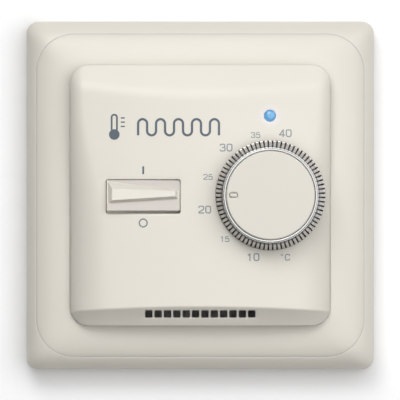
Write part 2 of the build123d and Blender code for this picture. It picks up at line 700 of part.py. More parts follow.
with BuildPart() as potentiometer_shaft:
    with BuildSketch(level(SHAFT_BOTTOM)):
        with Locations((KNOB_X, 0)):
            Circle(WIPER_RADIUS)
    extrude(amount=SHAFT_FLANGE)
    with BuildSketch(level(SHAFT_BOTTOM)):
        with Locations((KNOB_X, 0)):
            Circle(SHAFT_RADIUS)
    extrude(amount=SHAFT_TOP - SHAFT_BOTTOM)
    # flat on the side away from the pointer
    with BuildSketch(level(HUB_BOTTOM)):
        with Locations((KNOB_X + SHAFT_FLAT + 2.0, 0)):
            Rectangle(4.0, 8.0)
    extrude(amount=SHAFT_TOP, mode=Mode.SUBTRACT)
save(potentiometer_shaft, "potentiometer_shaft")

with BuildPart() as potentiometer_wiper:
    with BuildSketch(level(0.9)):
        with Locations((KNOB_X, 0)):
            Circle(WIPER_RADIUS)
            with Locations((-WIPER_REACH, 0)):
                Rectangle(1.2, 2.4)
    extrude(amount=0.7)
    # contact finger close over the track
    with BuildSketch(level(0.55)):
        with Locations((KNOB_X - WIPER_REACH, 0)):
            Rectangle(0.8, 1.6)
    extrude(amount=0.35)
save(potentiometer_wiper, "potentiometer_wiper")

# ---- setting rings under the knob, each with a stop tab just past the knob's travel ----


def limit_ring(height, radius, side):
    """A thin ring round the hub with a raised tab on one side of the knob's travel."""
    tab_angle = side * (KNOB_HALF_TRAVEL + 16.0)
    tab_inside = min(radius - 0.3, RING_RADIUS - 0.9)
    with BuildPart() as ring:
        with BuildSketch(level(height)):
            with Locations((KNOB_X, 0)):
                Circle(radius)
                Circle(HUB_RADIUS + 0.6, mode=Mode.SUBTRACT)
        extrude(amount=RING_THICKNESS)
        with BuildSketch(level(height)):
            with Locations((KNOB_X, 0)):
                with PolarLocations((RING_RADIUS + tab_inside) / 2, 1, tab_angle):
                    Rectangle(RING_RADIUS - tab_inside, 1.4)
        extrude(amount=RING_TAB_TOP - height)
    return ring


save(limit_ring(RECESS_FLOOR, RING_RADIUS, -1), "minimum_limit_ring")
save(limit_ring(RECESS_FLOOR + RING_THICKNESS + 0.1, RING_RADIUS - RING_STEP, 1), "maximum_limit_ring")

with BuildPart() as cover_screw:
    with BuildSketch(level(COVER_SCREW_TIP)):
        with Locations((KNOB_X, -COVER_SCREW_DISTANCE)):
            Circle(SCREW_SHANK_RADIUS)
    extrude(amount=RECESS_FLOOR - COVER_SCREW_TIP)
    with BuildSketch(level(RECESS_FLOOR)):
        with Locations((KNOB_X, -COVER_SCREW_DISTANCE)):
            Circle(COVER_SCREW_HEAD_RADIUS)
    extrude(amount=COVER_SCREW_HEAD_HEIGHT)
    fillet(cover_screw.faces().sort_by(Axis.Y)[0].edges(), 0.5)
    with BuildSketch(level(RECESS_FLOOR + 0.7)):
        with Locations((KNOB_X, -COVER_SCREW_DISTANCE)):
            Rectangle(2.0, CROSS_SLOT_WIDTH)
            Rectangle(CROSS_SLOT_WIDTH, 2.0)
    extrude(amount=1.0, mode=Mode.SUBTRACT)
save(cover_screw, "cover_screw")

# ---- knob: hollow cap with hub, bright ring and toothed skirt ----
with BuildPart() as knob_body:
    with BuildSketch(level(KNOB_BASE + 0.2)):
        with Locations((KNOB_X, 0)):
            Circle(CAP_RADIUS)
    extrude(amount=KNOB_TOP - KNOB_BASE - 0.2)
    fillet(knob_body.faces().sort_by(Axis.Y)[0].edges(), 0.4)
    with BuildSketch(level(KNOB_BASE + 0.2)):
        with Locations((KNOB_X, 0)):
            Circle(CAP_RADIUS - CAP_WALL)
    extrude(amount=KNOB_TOP - KNOB_BASE - 0.2 - CAP_WALL, mode=Mode.SUBTRACT)
    with BuildSketch(level(HUB_BOTTOM)):
        with Locations((KNOB_X, 0)):
            Circle(HUB_RADIUS)
    extrude(amount=KNOB_TOP - CAP_WALL - HUB_BOTTOM)
    # D-shaped bore that the shaft fills
    with BuildSketch(level(HUB_BOTTOM)):
        with Locations((KNOB_X, 0)):
            Circle(SHAFT_RADIUS)
        with Locations((KNOB_X + SHAFT_FLAT + 2.0, 0)):
            Rectangle(4.0, 8.0, mode=Mode.SUBTRACT)
    extrude(amount=SHAFT_TOP - HUB_BOTTOM, mode=Mode.SUBTRACT)
    # stop pin that meets the tabs of the setting rings
    with BuildSketch(level(18.8)):
        with Locations((KNOB_X + STOP_RADIUS, 0)):
            Circle(0.6)
    extrude(amount=KNOB_TOP - CAP_WALL - 18.8)
    # pointer: a small sunk loop on the face
    with BuildSketch(level(KNOB_TOP - 0.25)):
        with Locations((KNOB_X - POINTER_DISTANCE, 0)):
            SlotOverall(POINTER_LENGTH, POINTER_WIDTH)
            SlotOverall(
                POINTER_LENGTH - 2 * POINTER_STROKE,
                POINTER_WIDTH - 2 * POINTER_STROKE,
                mode=Mode.SUBTRACT,
            )
    extrude(amount=1.0, mode=Mode.SUBTRACT)
save(knob_body, "knob_body")

with BuildPart() as knob_bezel:
    with BuildSketch(level(KNOB_BASE + 0.2)):
        with Locations((KNOB_X, 0)):
            Circle(BEZEL_RADIUS)
            Circle(CAP_RADIUS, mode=Mode.SUBTRACT)
    extrude(amount=BEZEL_TOP - KNOB_BASE - 0.2)
    fillet(knob_bezel.faces().sort_by(Axis.Y)[0].edges().sort_by(SortBy.LENGTH)[-1], 0.3)
save(knob_bezel, "knob_bezel")


def tooth_outline(radius):
    """The points of a ring of fine teeth, a tip and a root in turn."""
    points = []
    for step in range(2 * GRIP_TEETH):
        reach = radius - GRIP_TOOTH_DEPTH * (step % 2)
        angle = pi * step / GRIP_TEETH
        points.append((reach * cos(angle), reach * sin(angle)))
    return points


with BuildPart() as knob_grip:
    for height, radius in ((KNOB_BASE, KNOB_RADIUS), (GRIP_TOP, KNOB_UPPER_RADIUS + 0.4)):
        with BuildSketch(level(height)):
            with Locations((KNOB_X, 0)):
                Polygon(*tooth_outline(radius))
    loft(ruled=True)
    with BuildSketch(level(KNOB_BASE)):
        with Locations((KNOB_X, 0)):
            Circle(BEZEL_RADIUS)
    extrude(amount=KNOB_TOP, mode=Mode.SUBTRACT)
save(knob_grip, "knob_grip")

# ---- switch body: an open box with two ears that carry the rocker ----
with BuildPart() as switch_body:
    with BuildSketch(level(BOARD_FRONT)):
        with Locations((SWITCH_X, SWITCH_Z)):
            Rectangle(SWITCH_BODY_LENGTH, SWITCH_BODY_WIDTH)
    extrude(amount=SWITCH_BODY_TOP - BOARD_FRONT)
    with BuildSketch(level(BOARD_FRONT + SWITCH_WALL)):
        with Locations((SWITCH_X, SWITCH_Z)):
            Rectangle(SWITCH_BODY_LENGTH - 2 * SWITCH_WALL, SWITCH_BODY_WIDTH - 2 * SWITCH_WALL)
    extrude(amount=SWITCH_BODY_TOP, mode=Mode.SUBTRACT)
    # divider between the two poles
    with BuildSketch(level(BOARD_FRONT + SWITCH_WALL)):
        with Locations((SWITCH_X, SWITCH_Z)):
            Rectangle(1.0, SWITCH_BODY_WIDTH - 2 * SWITCH_WALL)
    extrude(amount=9.0)
    with BuildSketch(level(BOARD_FRONT)):
        with Locations(switch_pin_places):
            Rectangle(1.6, 0.8)
    extrude(amount=SWITCH_WALL, mode=Mode.SUBTRACT)
    # ears
    with BuildSketch(level(ROCKER_PIVOT - 6.0)):
        with Locations((SWITCH_X, SWITCH_Z)):
            with GridLocations(EAR_INSIDE + EAR_OUTSIDE, 0, 2, 1):
                Rectangle(EAR_OUTSIDE - EAR_INSIDE, 2 * EAR_RADIUS)
    extrude(amount=6.0)
    for side in (-1, 1):
        with BuildSketch(Plane.YZ.offset(SWITCH_X + side * EAR_INSIDE)):
            with Locations((-ROCKER_PIVOT, SWITCH_Z)):
                Circle(EAR_RADIUS)
        extrude(amount=side * (EAR_OUTSIDE - EAR_INSIDE))
    with BuildSketch(Plane.YZ.offset(SWITCH_X)):
        with Locations((-ROCKER_PIVOT, SWITCH_Z)):
            Circle(STUB_RADIUS + RUNNING_CLEARANCE)
    extrude(amount=EAR_OUTSIDE + 1, both=True, mode=Mode.SUBTRACT)
save(switch_body, "switch_body")

# ---- rocker at its resting tilt, upper end pressed in ----
rocker_side = tilted_plane(SWITCH_X, ROCKER_PIVOT, SWITCH_Z, -ROCKER_TILT)
rocker_face = Plane(rocker_side.origin, x_dir=(1, 0, 0), z_dir=-rocker_side.x_dir)


def rocker_ledge(side, depth):
    """A ledge behind the cover's collar that closes the slit beside one end of the cap."""
    with BuildPart() as ledge:
        with BuildSketch(rocker_side):
            with Locations((-1.1, side * ROCKER_HALF_WIDTH)):
                Rectangle(2.8, 1.8)
        extrude(amount=ROCKER_LENGTH / 2, both=True)
        with BuildSketch(Plane.XY.offset(SWITCH_Z)):
            with Locations((0, -BARREL_CENTRE)):
                Circle(BARREL_RADIUS - depth)
        extrude(amount=10.0, both=True, mode=Mode.INTERSECT)
    return ledge.part


with BuildPart() as rocker:
    with BuildSketch(rocker_side):
        with BuildLine():
            Polyline(
                (-ROCKER_FACE, -ROCKER_HALF_WIDTH),
                (-ROCKER_FACE, ROCKER_HALF_WIDTH),
                (-ROCKER_UNDERSIDE, ROCKER_HALF_WIDTH + 0.15),
                (-ROCKER_UNDERSIDE, -ROCKER_HALF_WIDTH - 0.15),
                close=True,
            )
        make_face()
        with Locations((-1.3, 0)):
            with GridLocations(0, 2 * ROCKER_HALF_WIDTH - 0.8, 1, 2):
                Rectangle(3.2, 0.8)
    extrude(amount=ROCKER_LENGTH / 2, both=True)
    # the face follows the bulge of the cover
    with BuildSketch(Plane.XY.offset(SWITCH_Z)):
        with Locations((0, -BARREL_CENTRE)):
            Circle(BARREL_RADIUS + 0.75)
    extrude(amount=10.0, both=True, mode=Mode.INTERSECT)
    add(rocker_ledge(1, UPPER_LEDGE_DEPTH))
    add(rocker_ledge(-1, LOWER_LEDGE_DEPTH))
    # wedge-shaped ridge, tall at the left and narrow at the right
    with BuildSketch(rocker_face.offset(ROCKER_UNDERSIDE + 0.2)):
        with BuildLine():
            Polyline((-8.1, -1.9), (8.1, -0.6), (8.1, 1.2), (-8.1, 1.9), close=True)
        make_face()
    extrude(amount=ROCKER_FACE + 0.9 - ROCKER_UNDERSIDE, taper=12)
    # hub with the pivot stubs, and the two plunger tubes
    with BuildSketch(rocker_side):
        Circle(1.5)
        with Locations((-1.2, 0)):
            Rectangle(1.6, 3.0)
    extrude(amount=EAR_INSIDE - 0.2, both=True)
    with BuildSketch(rocker_side):
        Circle(STUB_RADIUS)
    extrude(amount=EAR_OUTSIDE, both=True)
    with BuildSketch(rocker_face.offset(-PLUNGER_TUBE_DEPTH)):
        with GridLocations(POLE_SPACING, 0, 2, 1):
            Circle(PLUNGER_TUBE_RADIUS)
    extrude(amount=PLUNGER_TUBE_DEPTH)
    with BuildSketch(rocker_face.offset(-PLUNGER_TUBE_DEPTH)):
        with GridLocations(POLE_SPACING, 0, 2, 1):
            Circle(PLUNGER_RADIUS)
    extrude(amount=PLUNGER_TUBE_DEPTH + 0.5, mode=Mode.SUBTRACT)
save(rocker, "rocker")

with BuildPart() as rocker_plungers:
    with BuildSketch(rocker_face.offset(-PLUNGER_TIP)):
        with GridLocations(POLE_SPACING, 0, 2, 1):
            Circle(PLUNGER_RADIUS)
    extrude(amount=PLUNGER_TIP - SPRING_SEAT)
    tips = rocker_plungers.faces().filter_by(rocker_face).sort_by(Axis.Y)[-2:]
    fillet(tips.edges(), 0.8)
save(rocker_plungers, "rocker_plungers")

with BuildPart() as plunger_springs:
    for side in (-1, 1):
        seat = rocker_face.offset(-SPRING_SEAT + SPRING_WIRE).origin + Vector(side * POLE_SPACING / 2, 0, 0)
        with BuildLine() as coil:
            Helix(
                pitch=SPRING_PITCH,
                height=SPRING_LENGTH - 2 * SPRING_WIRE,
                radius=SPRING_RADIUS,
                center=seat,
                direction=rocker_face.z_dir,
            )
        with BuildSketch(Plane(origin=coil.line @ 0, z_dir=coil.line % 0)):
            Circle(SPRING_WIRE)
        sweep(path=coil.line)
save(plunger_springs, "plunger_springs")

# ---- see-saw contacts at rest, lower ends pressed back onto the fixed contacts ----
lever_side = tilted_plane(SWITCH_X, LEVER_HEIGHT, SWITCH_Z, LEVER_TILT)
with BuildPart() as contact_levers:
    for side in (-1, 1):
        pole = side * POLE_SPACING / 2
        with BuildSketch(lever_side.offset(pole - LEVER_WIDTH / 2)):
            with Locations((-LEVER_THICKNESS / 2, 0)):
                RectangleRounded(LEVER_THICKNESS, 2 * LEVER_HALF_LENGTH, 0.2)
        extrude(amount=LEVER_WIDTH)
        with BuildSketch(Plane(lever_side.origin, x_dir=(1, 0, 0), z_dir=-lever_side.x_dir).offset(-0.5)):
            with Locations((pole, CONTACT_Z)):
                Circle(1.0)
        extrude(amount=0.6)
save(contact_levers, "contact_levers")

contact_top = LEVER_HEIGHT + CONTACT_Z * sin(radians(LEVER_TILT)) - 0.5 - 0.15
with BuildPart() as switch_terminals:
    for z, top in ((CONTACT_Z, contact_top - 0.4), (0.0, LEVER_HEIGHT - 0.15)):
        with BuildSketch(level(BOARD_BACK - 1.0)):
            with Locations((SWITCH_X, SWITCH_Z + z)):
                with GridLocations(POLE_SPACING, 0, 2, 1):
                    Rectangle(1.6, 0.8)
        extrude(amount=top - BOARD_BACK + 1.0)
    with BuildSketch(level(contact_top - 0.4)):
        with Locations((SWITCH_X, SWITCH_Z + CONTACT_Z)):
            with GridLocations(POLE_SPACING, 0, 2, 1):
                Circle(1.0)
    extrude(amount=0.4)
save(switch_terminals, "switch_terminals")
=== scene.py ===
import json
import math

import bpy
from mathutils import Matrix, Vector, geometry


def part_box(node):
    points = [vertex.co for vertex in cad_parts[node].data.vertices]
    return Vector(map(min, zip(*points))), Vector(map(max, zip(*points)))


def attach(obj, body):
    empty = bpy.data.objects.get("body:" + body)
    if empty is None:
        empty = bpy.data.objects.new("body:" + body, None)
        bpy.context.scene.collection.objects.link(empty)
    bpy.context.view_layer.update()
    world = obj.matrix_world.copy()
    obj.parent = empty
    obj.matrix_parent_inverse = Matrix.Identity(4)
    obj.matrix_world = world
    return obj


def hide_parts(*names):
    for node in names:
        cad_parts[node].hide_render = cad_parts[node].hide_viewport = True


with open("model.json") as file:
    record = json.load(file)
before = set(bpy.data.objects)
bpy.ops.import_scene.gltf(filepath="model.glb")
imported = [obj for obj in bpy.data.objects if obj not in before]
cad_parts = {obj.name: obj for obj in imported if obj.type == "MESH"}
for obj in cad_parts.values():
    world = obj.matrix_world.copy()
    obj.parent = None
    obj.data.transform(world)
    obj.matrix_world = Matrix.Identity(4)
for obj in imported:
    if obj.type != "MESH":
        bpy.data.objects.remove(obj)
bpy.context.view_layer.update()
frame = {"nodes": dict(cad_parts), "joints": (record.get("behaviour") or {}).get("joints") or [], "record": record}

MM = 0.001


def box_mm(node):
    """Lowest and highest corner of a CAD node, in millimetres."""
    low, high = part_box(node)
    return low / MM, high / MM


def joint_place(name):
    """A joint's place as (across, height in front of the wall, up), in millimetres."""
    place = [j for j in frame["joints"] if j["name"] == name][0]["pos_m"]
    return place[0] / MM, -place[1] / MM, place[2] / MM


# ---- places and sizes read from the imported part, in millimetres ----
# "Height" is the distance in front of the wall plane y = 0.
frame_low, frame_high = box_mm("trim_frame")
cover_low, cover_high = box_mm("front_cover")
bezel_low, bezel_high = box_mm("knob_bezel")
grip_low, grip_high = box_mm("knob_grip")
cap_low, cap_high = box_mm("knob_body")
lens_low, lens_high = box_mm("light_guide")

FRAME_HALF = (frame_high.x - frame_low.x) / 2
FRAME_TOP = -frame_low.y
COVER_HALF = (cover_high.x - cover_low.x) / 2
COVER_TOP = -cover_low.y
KNOB_X = (bezel_low.x + bezel_high.x) / 2
KNOB_Z = (bezel_low.z + bezel_high.z) / 2
GRIP_BASE = -grip_high.y
GRIP_TOP = -grip_low.y
GRIP_RADIUS = (grip_high.x - grip_low.x) / 2
BEZEL_RADIUS = (bezel_high.x - bezel_low.x) / 2
BEZEL_TOP = -bezel_low.y
CAP_TOP = -cap_low.y
CAP_BOTTOM = -cap_high.y
LIGHT_X = (lens_low.x + lens_high.x) / 2
LIGHT_Z = (lens_low.z + lens_high.z) / 2
ROCKER_X, ROCKER_PIVOT, ROCKER_Z = joint_place("rocker_tilt")


# ---- mesh helpers ----
def spot(x, height, z):
    """A point in metres from millimetres across, in front of the wall and up."""
    return (x * MM, -height * MM, z * MM)


def new_object(name, points, faces, smooth=True):
    """A mesh object from points in metres."""
    mesh = bpy.data.meshes.new(name)
    mesh.from_pydata(points, [], faces)
    mesh.update()
    for polygon in mesh.polygons:
        polygon.use_smooth = smooth
    made = bpy.data.objects.new(name, mesh)
    bpy.context.scene.collection.objects.link(made)
    return made


def finish_piece(made, body, material, replaced=(), sharp=None):
    """Gives a piece its sharp edges, its material and its body, and hides the CAD parts that it replaces."""
    if sharp is not None:
        made.data.set_sharp_from_angle(angle=math.radians(sharp))
    made.data.materials.clear()
    made.data.materials.append(material)
    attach(made, body)
    if replaced:
        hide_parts(*replaced)


def loft(rows, closed=False):
    """Quads between rows of equal length; closed joins the last row to the first."""
    count = len(rows[0])
    points = [p for row in rows for p in row]
    faces = []
    for a in range(len(rows) if closed else len(rows) - 1):
        b = (a + 1) % len(rows)
        for i in range(count):
            j = (i + 1) % count
            faces.append((a * count + i, a * count + j, b * count + j, b * count + i))
    return points, faces


def rounded_square(half_x, half_z, radius, corner, side, centre=(0.0, 0.0)):
    """Points (x, z) round a rounded rectangle, counter-clockwise seen from the front."""
    radius = max(radius, 0.0001)
    points = []
    places = ((1, -1, -90), (1, 1, 0), (-1, 1, 90), (-1, -1, 180))
    for index, (sx, sz, start) in enumerate(places):
        cx = centre[0] + sx * (half_x - radius)
        cz = centre[1] + sz * (half_z - radius)
        for step in range(corner + 1):
            angle = math.radians(start + 90 * step / corner)
            points.append((cx + radius * math.cos(angle), cz + radius * math.sin(angle)))
        tx, tz, turn = places[(index + 1) % 4]
        angle = math.radians(turn)
        end = (
            centre[0] + tx * (half_x - radius) + radius * math.cos(angle),
            centre[1] + tz * (half_z - radius) + radius * math.sin(angle),
        )
        last = points[-1]
        for step in range(1, side):
            t = step / side
            points.append((last[0] + (end[0] - last[0]) * t, last[1] + (end[1] - last[1]) * t))
    return points


def box_distance(x, z, half_x, half_z, radius, centre):
    """Signed distance from a rounded rectangle, positive outside."""
    qx = abs(x - centre[0]) - (half_x - radius)
    qz = abs(z - centre[1]) - (half_z - radius)
    return math.hypot(max(qx, 0), max(qz, 0)) + min(max(qx, qz), 0) - radius


def soft_min(a, b, reach):
    """The smaller of two values, blended where they are closer than reach."""
    near = max(reach - abs(a - b), 0) / reach
    return min(a, b) - near * near * reach / 4


def circle_path(centre, radius, count=40):
    """Points (x, z) round a circle."""
    turns = [2 * math.pi * i / count for i in range(count)]
    return [(centre[0] + radius * math.cos(a), centre[1] + radius * math.sin(a)) for a in turns]


def ring_points(radius, height, count, centre, wobble=None):
    """A ring of points; wobble(angle) is taken off the radius."""
    row = []
    for i in range(count):
        angle = 2 * math.pi * i / count
        reach = radius - (wobble(angle) if wobble else 0.0)
        x = centre[0] + reach * math.cos(angle)
        z = centre[1] + reach * math.sin(angle)
        row.append(spot(x, height, z))
    return row


def turned(profile, count, centre, wobble=None):
    """A closed solid turned about an axis that points out of the wall.
    The profile is (radius, height, share of the wobble) round its closed outline."""
    rows = []
    for radius, height, share in profile:
        lean = (lambda a, s=share: wobble(a) * s) if wobble and share else None
        rows.append(ring_points(radius, height, count, centre, lean))
    return loft(rows, closed=True)


# ---- materials ----
def node_material(name):
    """A new material with its node tree and its shader."""
    material = bpy.data.materials.new(name)
    material.use_nodes = True
    tree = material.node_tree
    return material, tree, tree.nodes["Principled BSDF"]


def feed(tree, node, **values):
    """Feeds inputs by name, each with a value or with another node's output."""
    for key, value in values.items():
        feed_socket(tree, node.inputs[key.replace("_", " ")], value)


def feed_socket(tree, socket, value):
    """Links an output to an input, or sets the input to a plain value."""
    if isinstance(value, bpy.types.NodeSocket):
        tree.links.new(value, socket)
    else:
        socket.default_value = value


def add_node(tree, kind, *in_order, **values):
    """A node: its inputs in their order or, with in_ before the name, by name; its settings by name."""
    node = tree.nodes.new(kind)
    for key, value in values.items():
        if key.startswith("in_"):
            feed(tree, node, **{key[3:]: value})
        else:
            setattr(node, key, value)
    for socket, value in zip(node.inputs, in_order):
        feed_socket(tree, socket, value)
    return node


def object_place(tree):
    """Each point's place in its object, in metres."""
    return add_node(tree, "ShaderNodeTexCoord").outputs["Object"]


def noise(tree, place, scale, detail=3.0):
    """A noise between 0 and 1 at each place."""
    node = add_node(tree, "ShaderNodeTexNoise", in_Scale=scale, in_Detail=detail, in_Roughness=0.55)
    feed(tree, node, Vector=place)
    return node.outputs["Fac"]


def colour_ramp(tree, factor, low, high, place=(0.3, 0.7)):
    """A colour from low to high, by a factor between the two places."""
    node = add_node(tree, "ShaderNodeValToRGB", in_Fac=factor)
    for element, position, colour in zip(node.color_ramp.elements, place, (low, high)):
        element.position = position
        element.color = (*colour, 1.0)
    return node.outputs["Color"]


def ranged(tree, value, low, high, start=0.0, end=1.0, **settings):
    """A value from low to high, while the given one goes from start to end."""
    node = add_node(tree, "ShaderNodeMapRange", in_Value=value, **settings)
    feed(tree, node, From_Min=start, From_Max=end, To_Min=low, To_Max=high)
    return node.outputs["Result"]


def surface(
    name,
    colour,
    rough=(0.34, 0.44),
    spread=0.03,
    patch=60.0,
    grain=2500.0,
    depth=0.05,
    metallic=0.0,
    stretch=None,
):
    """A moulded or metal surface: patchy colour, uneven gloss and a fine grain, all from noise."""
    material, tree, shader = node_material(name)
    where = object_place(tree)
    fine_where = where
    if stretch:
        mapping = add_node(tree, "ShaderNodeMapping", in_Vector=where, in_Scale=stretch)
        fine_where = mapping.outputs["Vector"]
    fine = noise(tree, fine_where, grain, detail=2.0)
    low = tuple(c * (1 - spread) for c in colour)
    high = tuple(min(c * (1 + spread), 1.0) for c in colour)
    tint = colour_ramp(tree, noise(tree, where, patch), low, high)
    gloss = ranged(tree, fine, *rough)
    bump = add_node(tree, "ShaderNodeBump", in_Strength=depth, in_Distance=0.1 * MM, in_Height=fine)
    feed(tree, shader, Base_Color=tint, Roughness=gloss, Normal=bump.outputs["Normal"], Metallic=metallic)
    return material


IVORY = (0.7, 0.668, 0.595)
MOULDED = {"rough": (0.36, 0.44), "spread": 0.008, "depth": 0.03}
INK = {"rough": (0.4, 0.55), "spread": 0.1, "depth": 0.04}
ivory = surface("ivory_plastic", IVORY, **MOULDED)
# painted shade: darker copies of the cover's ivory for the knob's cap and the trim frame
ivory_cap_painted_shade = surface("ivory_cap_painted_shade", (0.645, 0.617, 0.55), **MOULDED)
ivory_frame_painted_shade = surface("ivory_frame_painted_shade", (0.66, 0.63, 0.561), **MOULDED)
# painted shade: a darker, pinkish copy of the ivory for the rocker's two flats
rocker_flat_painted_shade = surface(
    "rocker_flat_painted_shade", (0.53, 0.49, 0.455), rough=(0.34, 0.42), spread=0.01, depth=0.03
)
# painted light: a lighter copy of the ivory for the rocker's low wall and skirts, which lie in shade
ledge_painted_light = surface("ledge_painted_light", (0.85, 0.8, 0.72), rough=(0.36, 0.44), spread=0.01)
# painted shade for the frame's groove
groove_painted_shade = surface("groove_painted_shade", (0.47, 0.47, 0.48), rough=(0.5, 0.6), spread=0.03)
# painted shade for the floor of the knob's sunk pointer loop
pointer_painted_shade = surface("pointer_painted_shade", (0.24, 0.24, 0.235), rough=(0.45, 0.55), spread=0.05)
bright_metal = surface(
    "bright_ring", (0.4, 0.4, 0.39), rough=(0.24, 0.32), spread=0.01, depth=0.01, metallic=1.0
)
satin_metal = surface(
    "satin_metal", (0.58, 0.565, 0.55), rough=(0.28, 0.4), spread=0.05, depth=0.05, metallic=0.9
)
# painted shade for the knob grip's flange and the gaps between its ribs
painted_gap_shade = surface("gap_painted_shade_dark", (0.022, 0.021, 0.02), rough=(0.5, 0.6), spread=0.1)
painted_gap_shade_upper = surface("gap_painted_shade_grey", (0.09, 0.086, 0.082), rough=(0.45, 0.55), spread=0.1)
print_ink = surface("print_slate", (0.075, 0.1, 0.13), rough=(0.4, 0.55), spread=0.12, depth=0.04)
print_ink_soft = surface("print_dark_grey", (0.17, 0.19, 0.205), **INK)
scale_ink = surface("print_grey", (0.23, 0.26, 0.28), **INK)


def lens_material():
    """Tinted lens, lit from behind and deeper in colour towards its raised middle."""
    material, tree, shader = node_material("light_window")
    where = object_place(tree)
    # the tint follows the distance from a point on the wall, low and left behind the lens
    shift = (-(LIGHT_X - 0.5) * MM, 0.0, -(LIGHT_Z - 0.9) * MM)
    shifted = add_node(tree, "ShaderNodeMapping", in_Vector=where, in_Location=shift)
    length = add_node(tree, "ShaderNodeVectorMath", shifted.outputs["Vector"], operation="LENGTH")
    reach = ranged(tree, length.outputs["Value"], 0.0, 1.0, 19.5 * MM, 21.5 * MM)
    speckle = noise(tree, where, 1800.0)
    mixed = add_node(tree, "ShaderNodeMath", speckle, 0.12, reach, operation="MULTIPLY_ADD", use_clamp=True)
    tint = colour_ramp(tree, mixed.outputs["Value"], (0.15, 0.42, 0.68), (0.05, 0.22, 0.52), (0.0, 1.0))
    feed(tree, shader, Base_Color=tint, Emission_Color=tint, Emission_Strength=0.05)
    feed(tree, shader, Roughness=0.12, Coat_Weight=0.4)
    return material


def cover_material():
    """The ivory plastic with the light's soft glow round its hole, painted on as a faint blue emission."""
    material = surface("ivory_cover", IVORY, **MOULDED)
    tree = material.node_tree
    flat = add_node(tree, "ShaderNodeVectorMath", object_place(tree), (1.0, 0.0, 1.0), operation="MULTIPLY")
    light = (LIGHT_X * MM, 0.0, LIGHT_Z * MM)
    away = add_node(tree, "ShaderNodeVectorMath", flat.outputs["Vector"], light, operation="DISTANCE")
    away = away.outputs["Value"]
    # painted light: a glow that fades out from the light's hole
    glow = ranged(tree, away, 1.0, 0.0, 1.4 * MM, 3.2 * MM, interpolation_type="SMOOTHSTEP")
    tint = colour_ramp(tree, glow, (0.0, 0.0, 0.0), (0.035, 0.035, 0.11), (0.0, 1.0))
    feed(tree, tree.nodes["Principled BSDF"], Emission_Color=tint, Emission_Strength=1.0)
    return material


def board_material():
    """Green solder mask over faint copper tracks."""
    material, tree, shader = node_material("circuit_board")
    where = object_place(tree)
    turn = add_node(tree, "ShaderNodeMapping", in_Vector=where, in_Rotation=(math.radians(90), 0.0, 0.0))
    tracks = add_node(
        tree,
        "ShaderNodeTexBrick",
        in_Vector=turn.outputs["Vector"],
        in_Scale=420.0,
        in_Mortar_Size=0.06,
        in_Color1=(0.012, 0.11, 0.04, 1.0),
        in_Color2=(0.018, 0.16, 0.06, 1.0),
        in_Mortar=(0.01, 0.07, 0.03, 1.0),
    )
    bump = add_node(tree, "ShaderNodeBump", in_Strength=0.2, in_Distance=0.1 * MM)
    feed(tree, bump, Height=tracks.outputs["Fac"])
    gloss = ranged(tree, noise(tree, where, 3000.0), 0.25, 0.4)
    feed(tree, shader, Base_Color=tracks.outputs["Color"], Roughness=gloss, Normal=bump.outputs["Normal"])
    return material


# brushed metals: a grain that is finer along Z leaves streaks across it
BRUSHED = {"metallic": 1.0, "stretch": (1.0, 1.0, 14.0)}
# plain materials of the inner pieces: (name, colour, roughness, spread of the colour, the rest)
INNER_MATERIALS = [
    ("grey_plastic", (0.52, 0.52, 0.5), (0.42, 0.56), 0.03, {"depth": 0.12}),
    ("white_plastic", (0.7, 0.7, 0.67), (0.42, 0.56), 0.03, {"depth": 0.12}),
    ("zinc_steel", (0.62, 0.63, 0.66), (0.24, 0.42), 0.08, BRUSHED),
    ("green_plastic", (0.02, 0.15, 0.055), (0.32, 0.45), 0.06, {}),
    ("black_plastic", (0.018, 0.018, 0.02), (0.3, 0.5), 0.1, {"depth": 0.1}),
    ("yellow_epoxy", (0.6, 0.36, 0.02), (0.2, 0.35), 0.06, {}),
    ("dark_sleeve", (0.02, 0.025, 0.05), (0.2, 0.35), 0.12, {}),
    ("blue_epoxy", (0.02, 0.08, 0.34), (0.15, 0.3), 0.08, {"patch": 300.0}),
    ("blue_lens", (0.2, 0.45, 0.85), (0.08, 0.15), 0.05, {"depth": 0.01}),
    ("carbon_film", (0.02, 0.02, 0.02), (0.5, 0.7), 0.15, {"grain": 6000.0}),
    ("tinned_brass", (0.66, 0.64, 0.57), (0.2, 0.35), 0.06, BRUSHED),
    ("brass_contact", (0.66, 0.44, 0.16), (0.2, 0.35), 0.08, BRUSHED),
    ("spring_steel", (0.4, 0.41, 0.43), (0.2, 0.34), 0.08, BRUSHED),
    ("blue_plastic", (0.015, 0.075, 0.42), (0.35, 0.48), 0.05, {}),
    ("red_plastic", (0.48, 0.012, 0.01), (0.35, 0.48), 0.05, {}),
]
slot_materials = {
    "ivory_plastic": ivory,
    "bright_ring": bright_metal,
    "satin_metal": satin_metal,
    "light_window": lens_material(),
    "circuit_board": board_material(),
}
for name, colour, rough, spread, more in INNER_MATERIALS:
    slot_materials[name] = surface(name, colour, rough, spread, **more)

for part in frame["record"]["subparts"]:
    node = frame["nodes"].get(part["node"])
    if node is not None:
        node.data.materials.clear()
        node.data.materials.append(slot_materials[part["material_slot"]])


# ---- plates between two height fields, used for the frame and the cover ----
def edge_drop(distance, radius):
    """How much a rounded edge has fallen at this distance from it."""
    if distance >= radius:
        return 0.0
    share = 1 - max(distance, 0.0) / radius
    return radius * (1 - math.sqrt(max(1 - share * share, 0.0)))


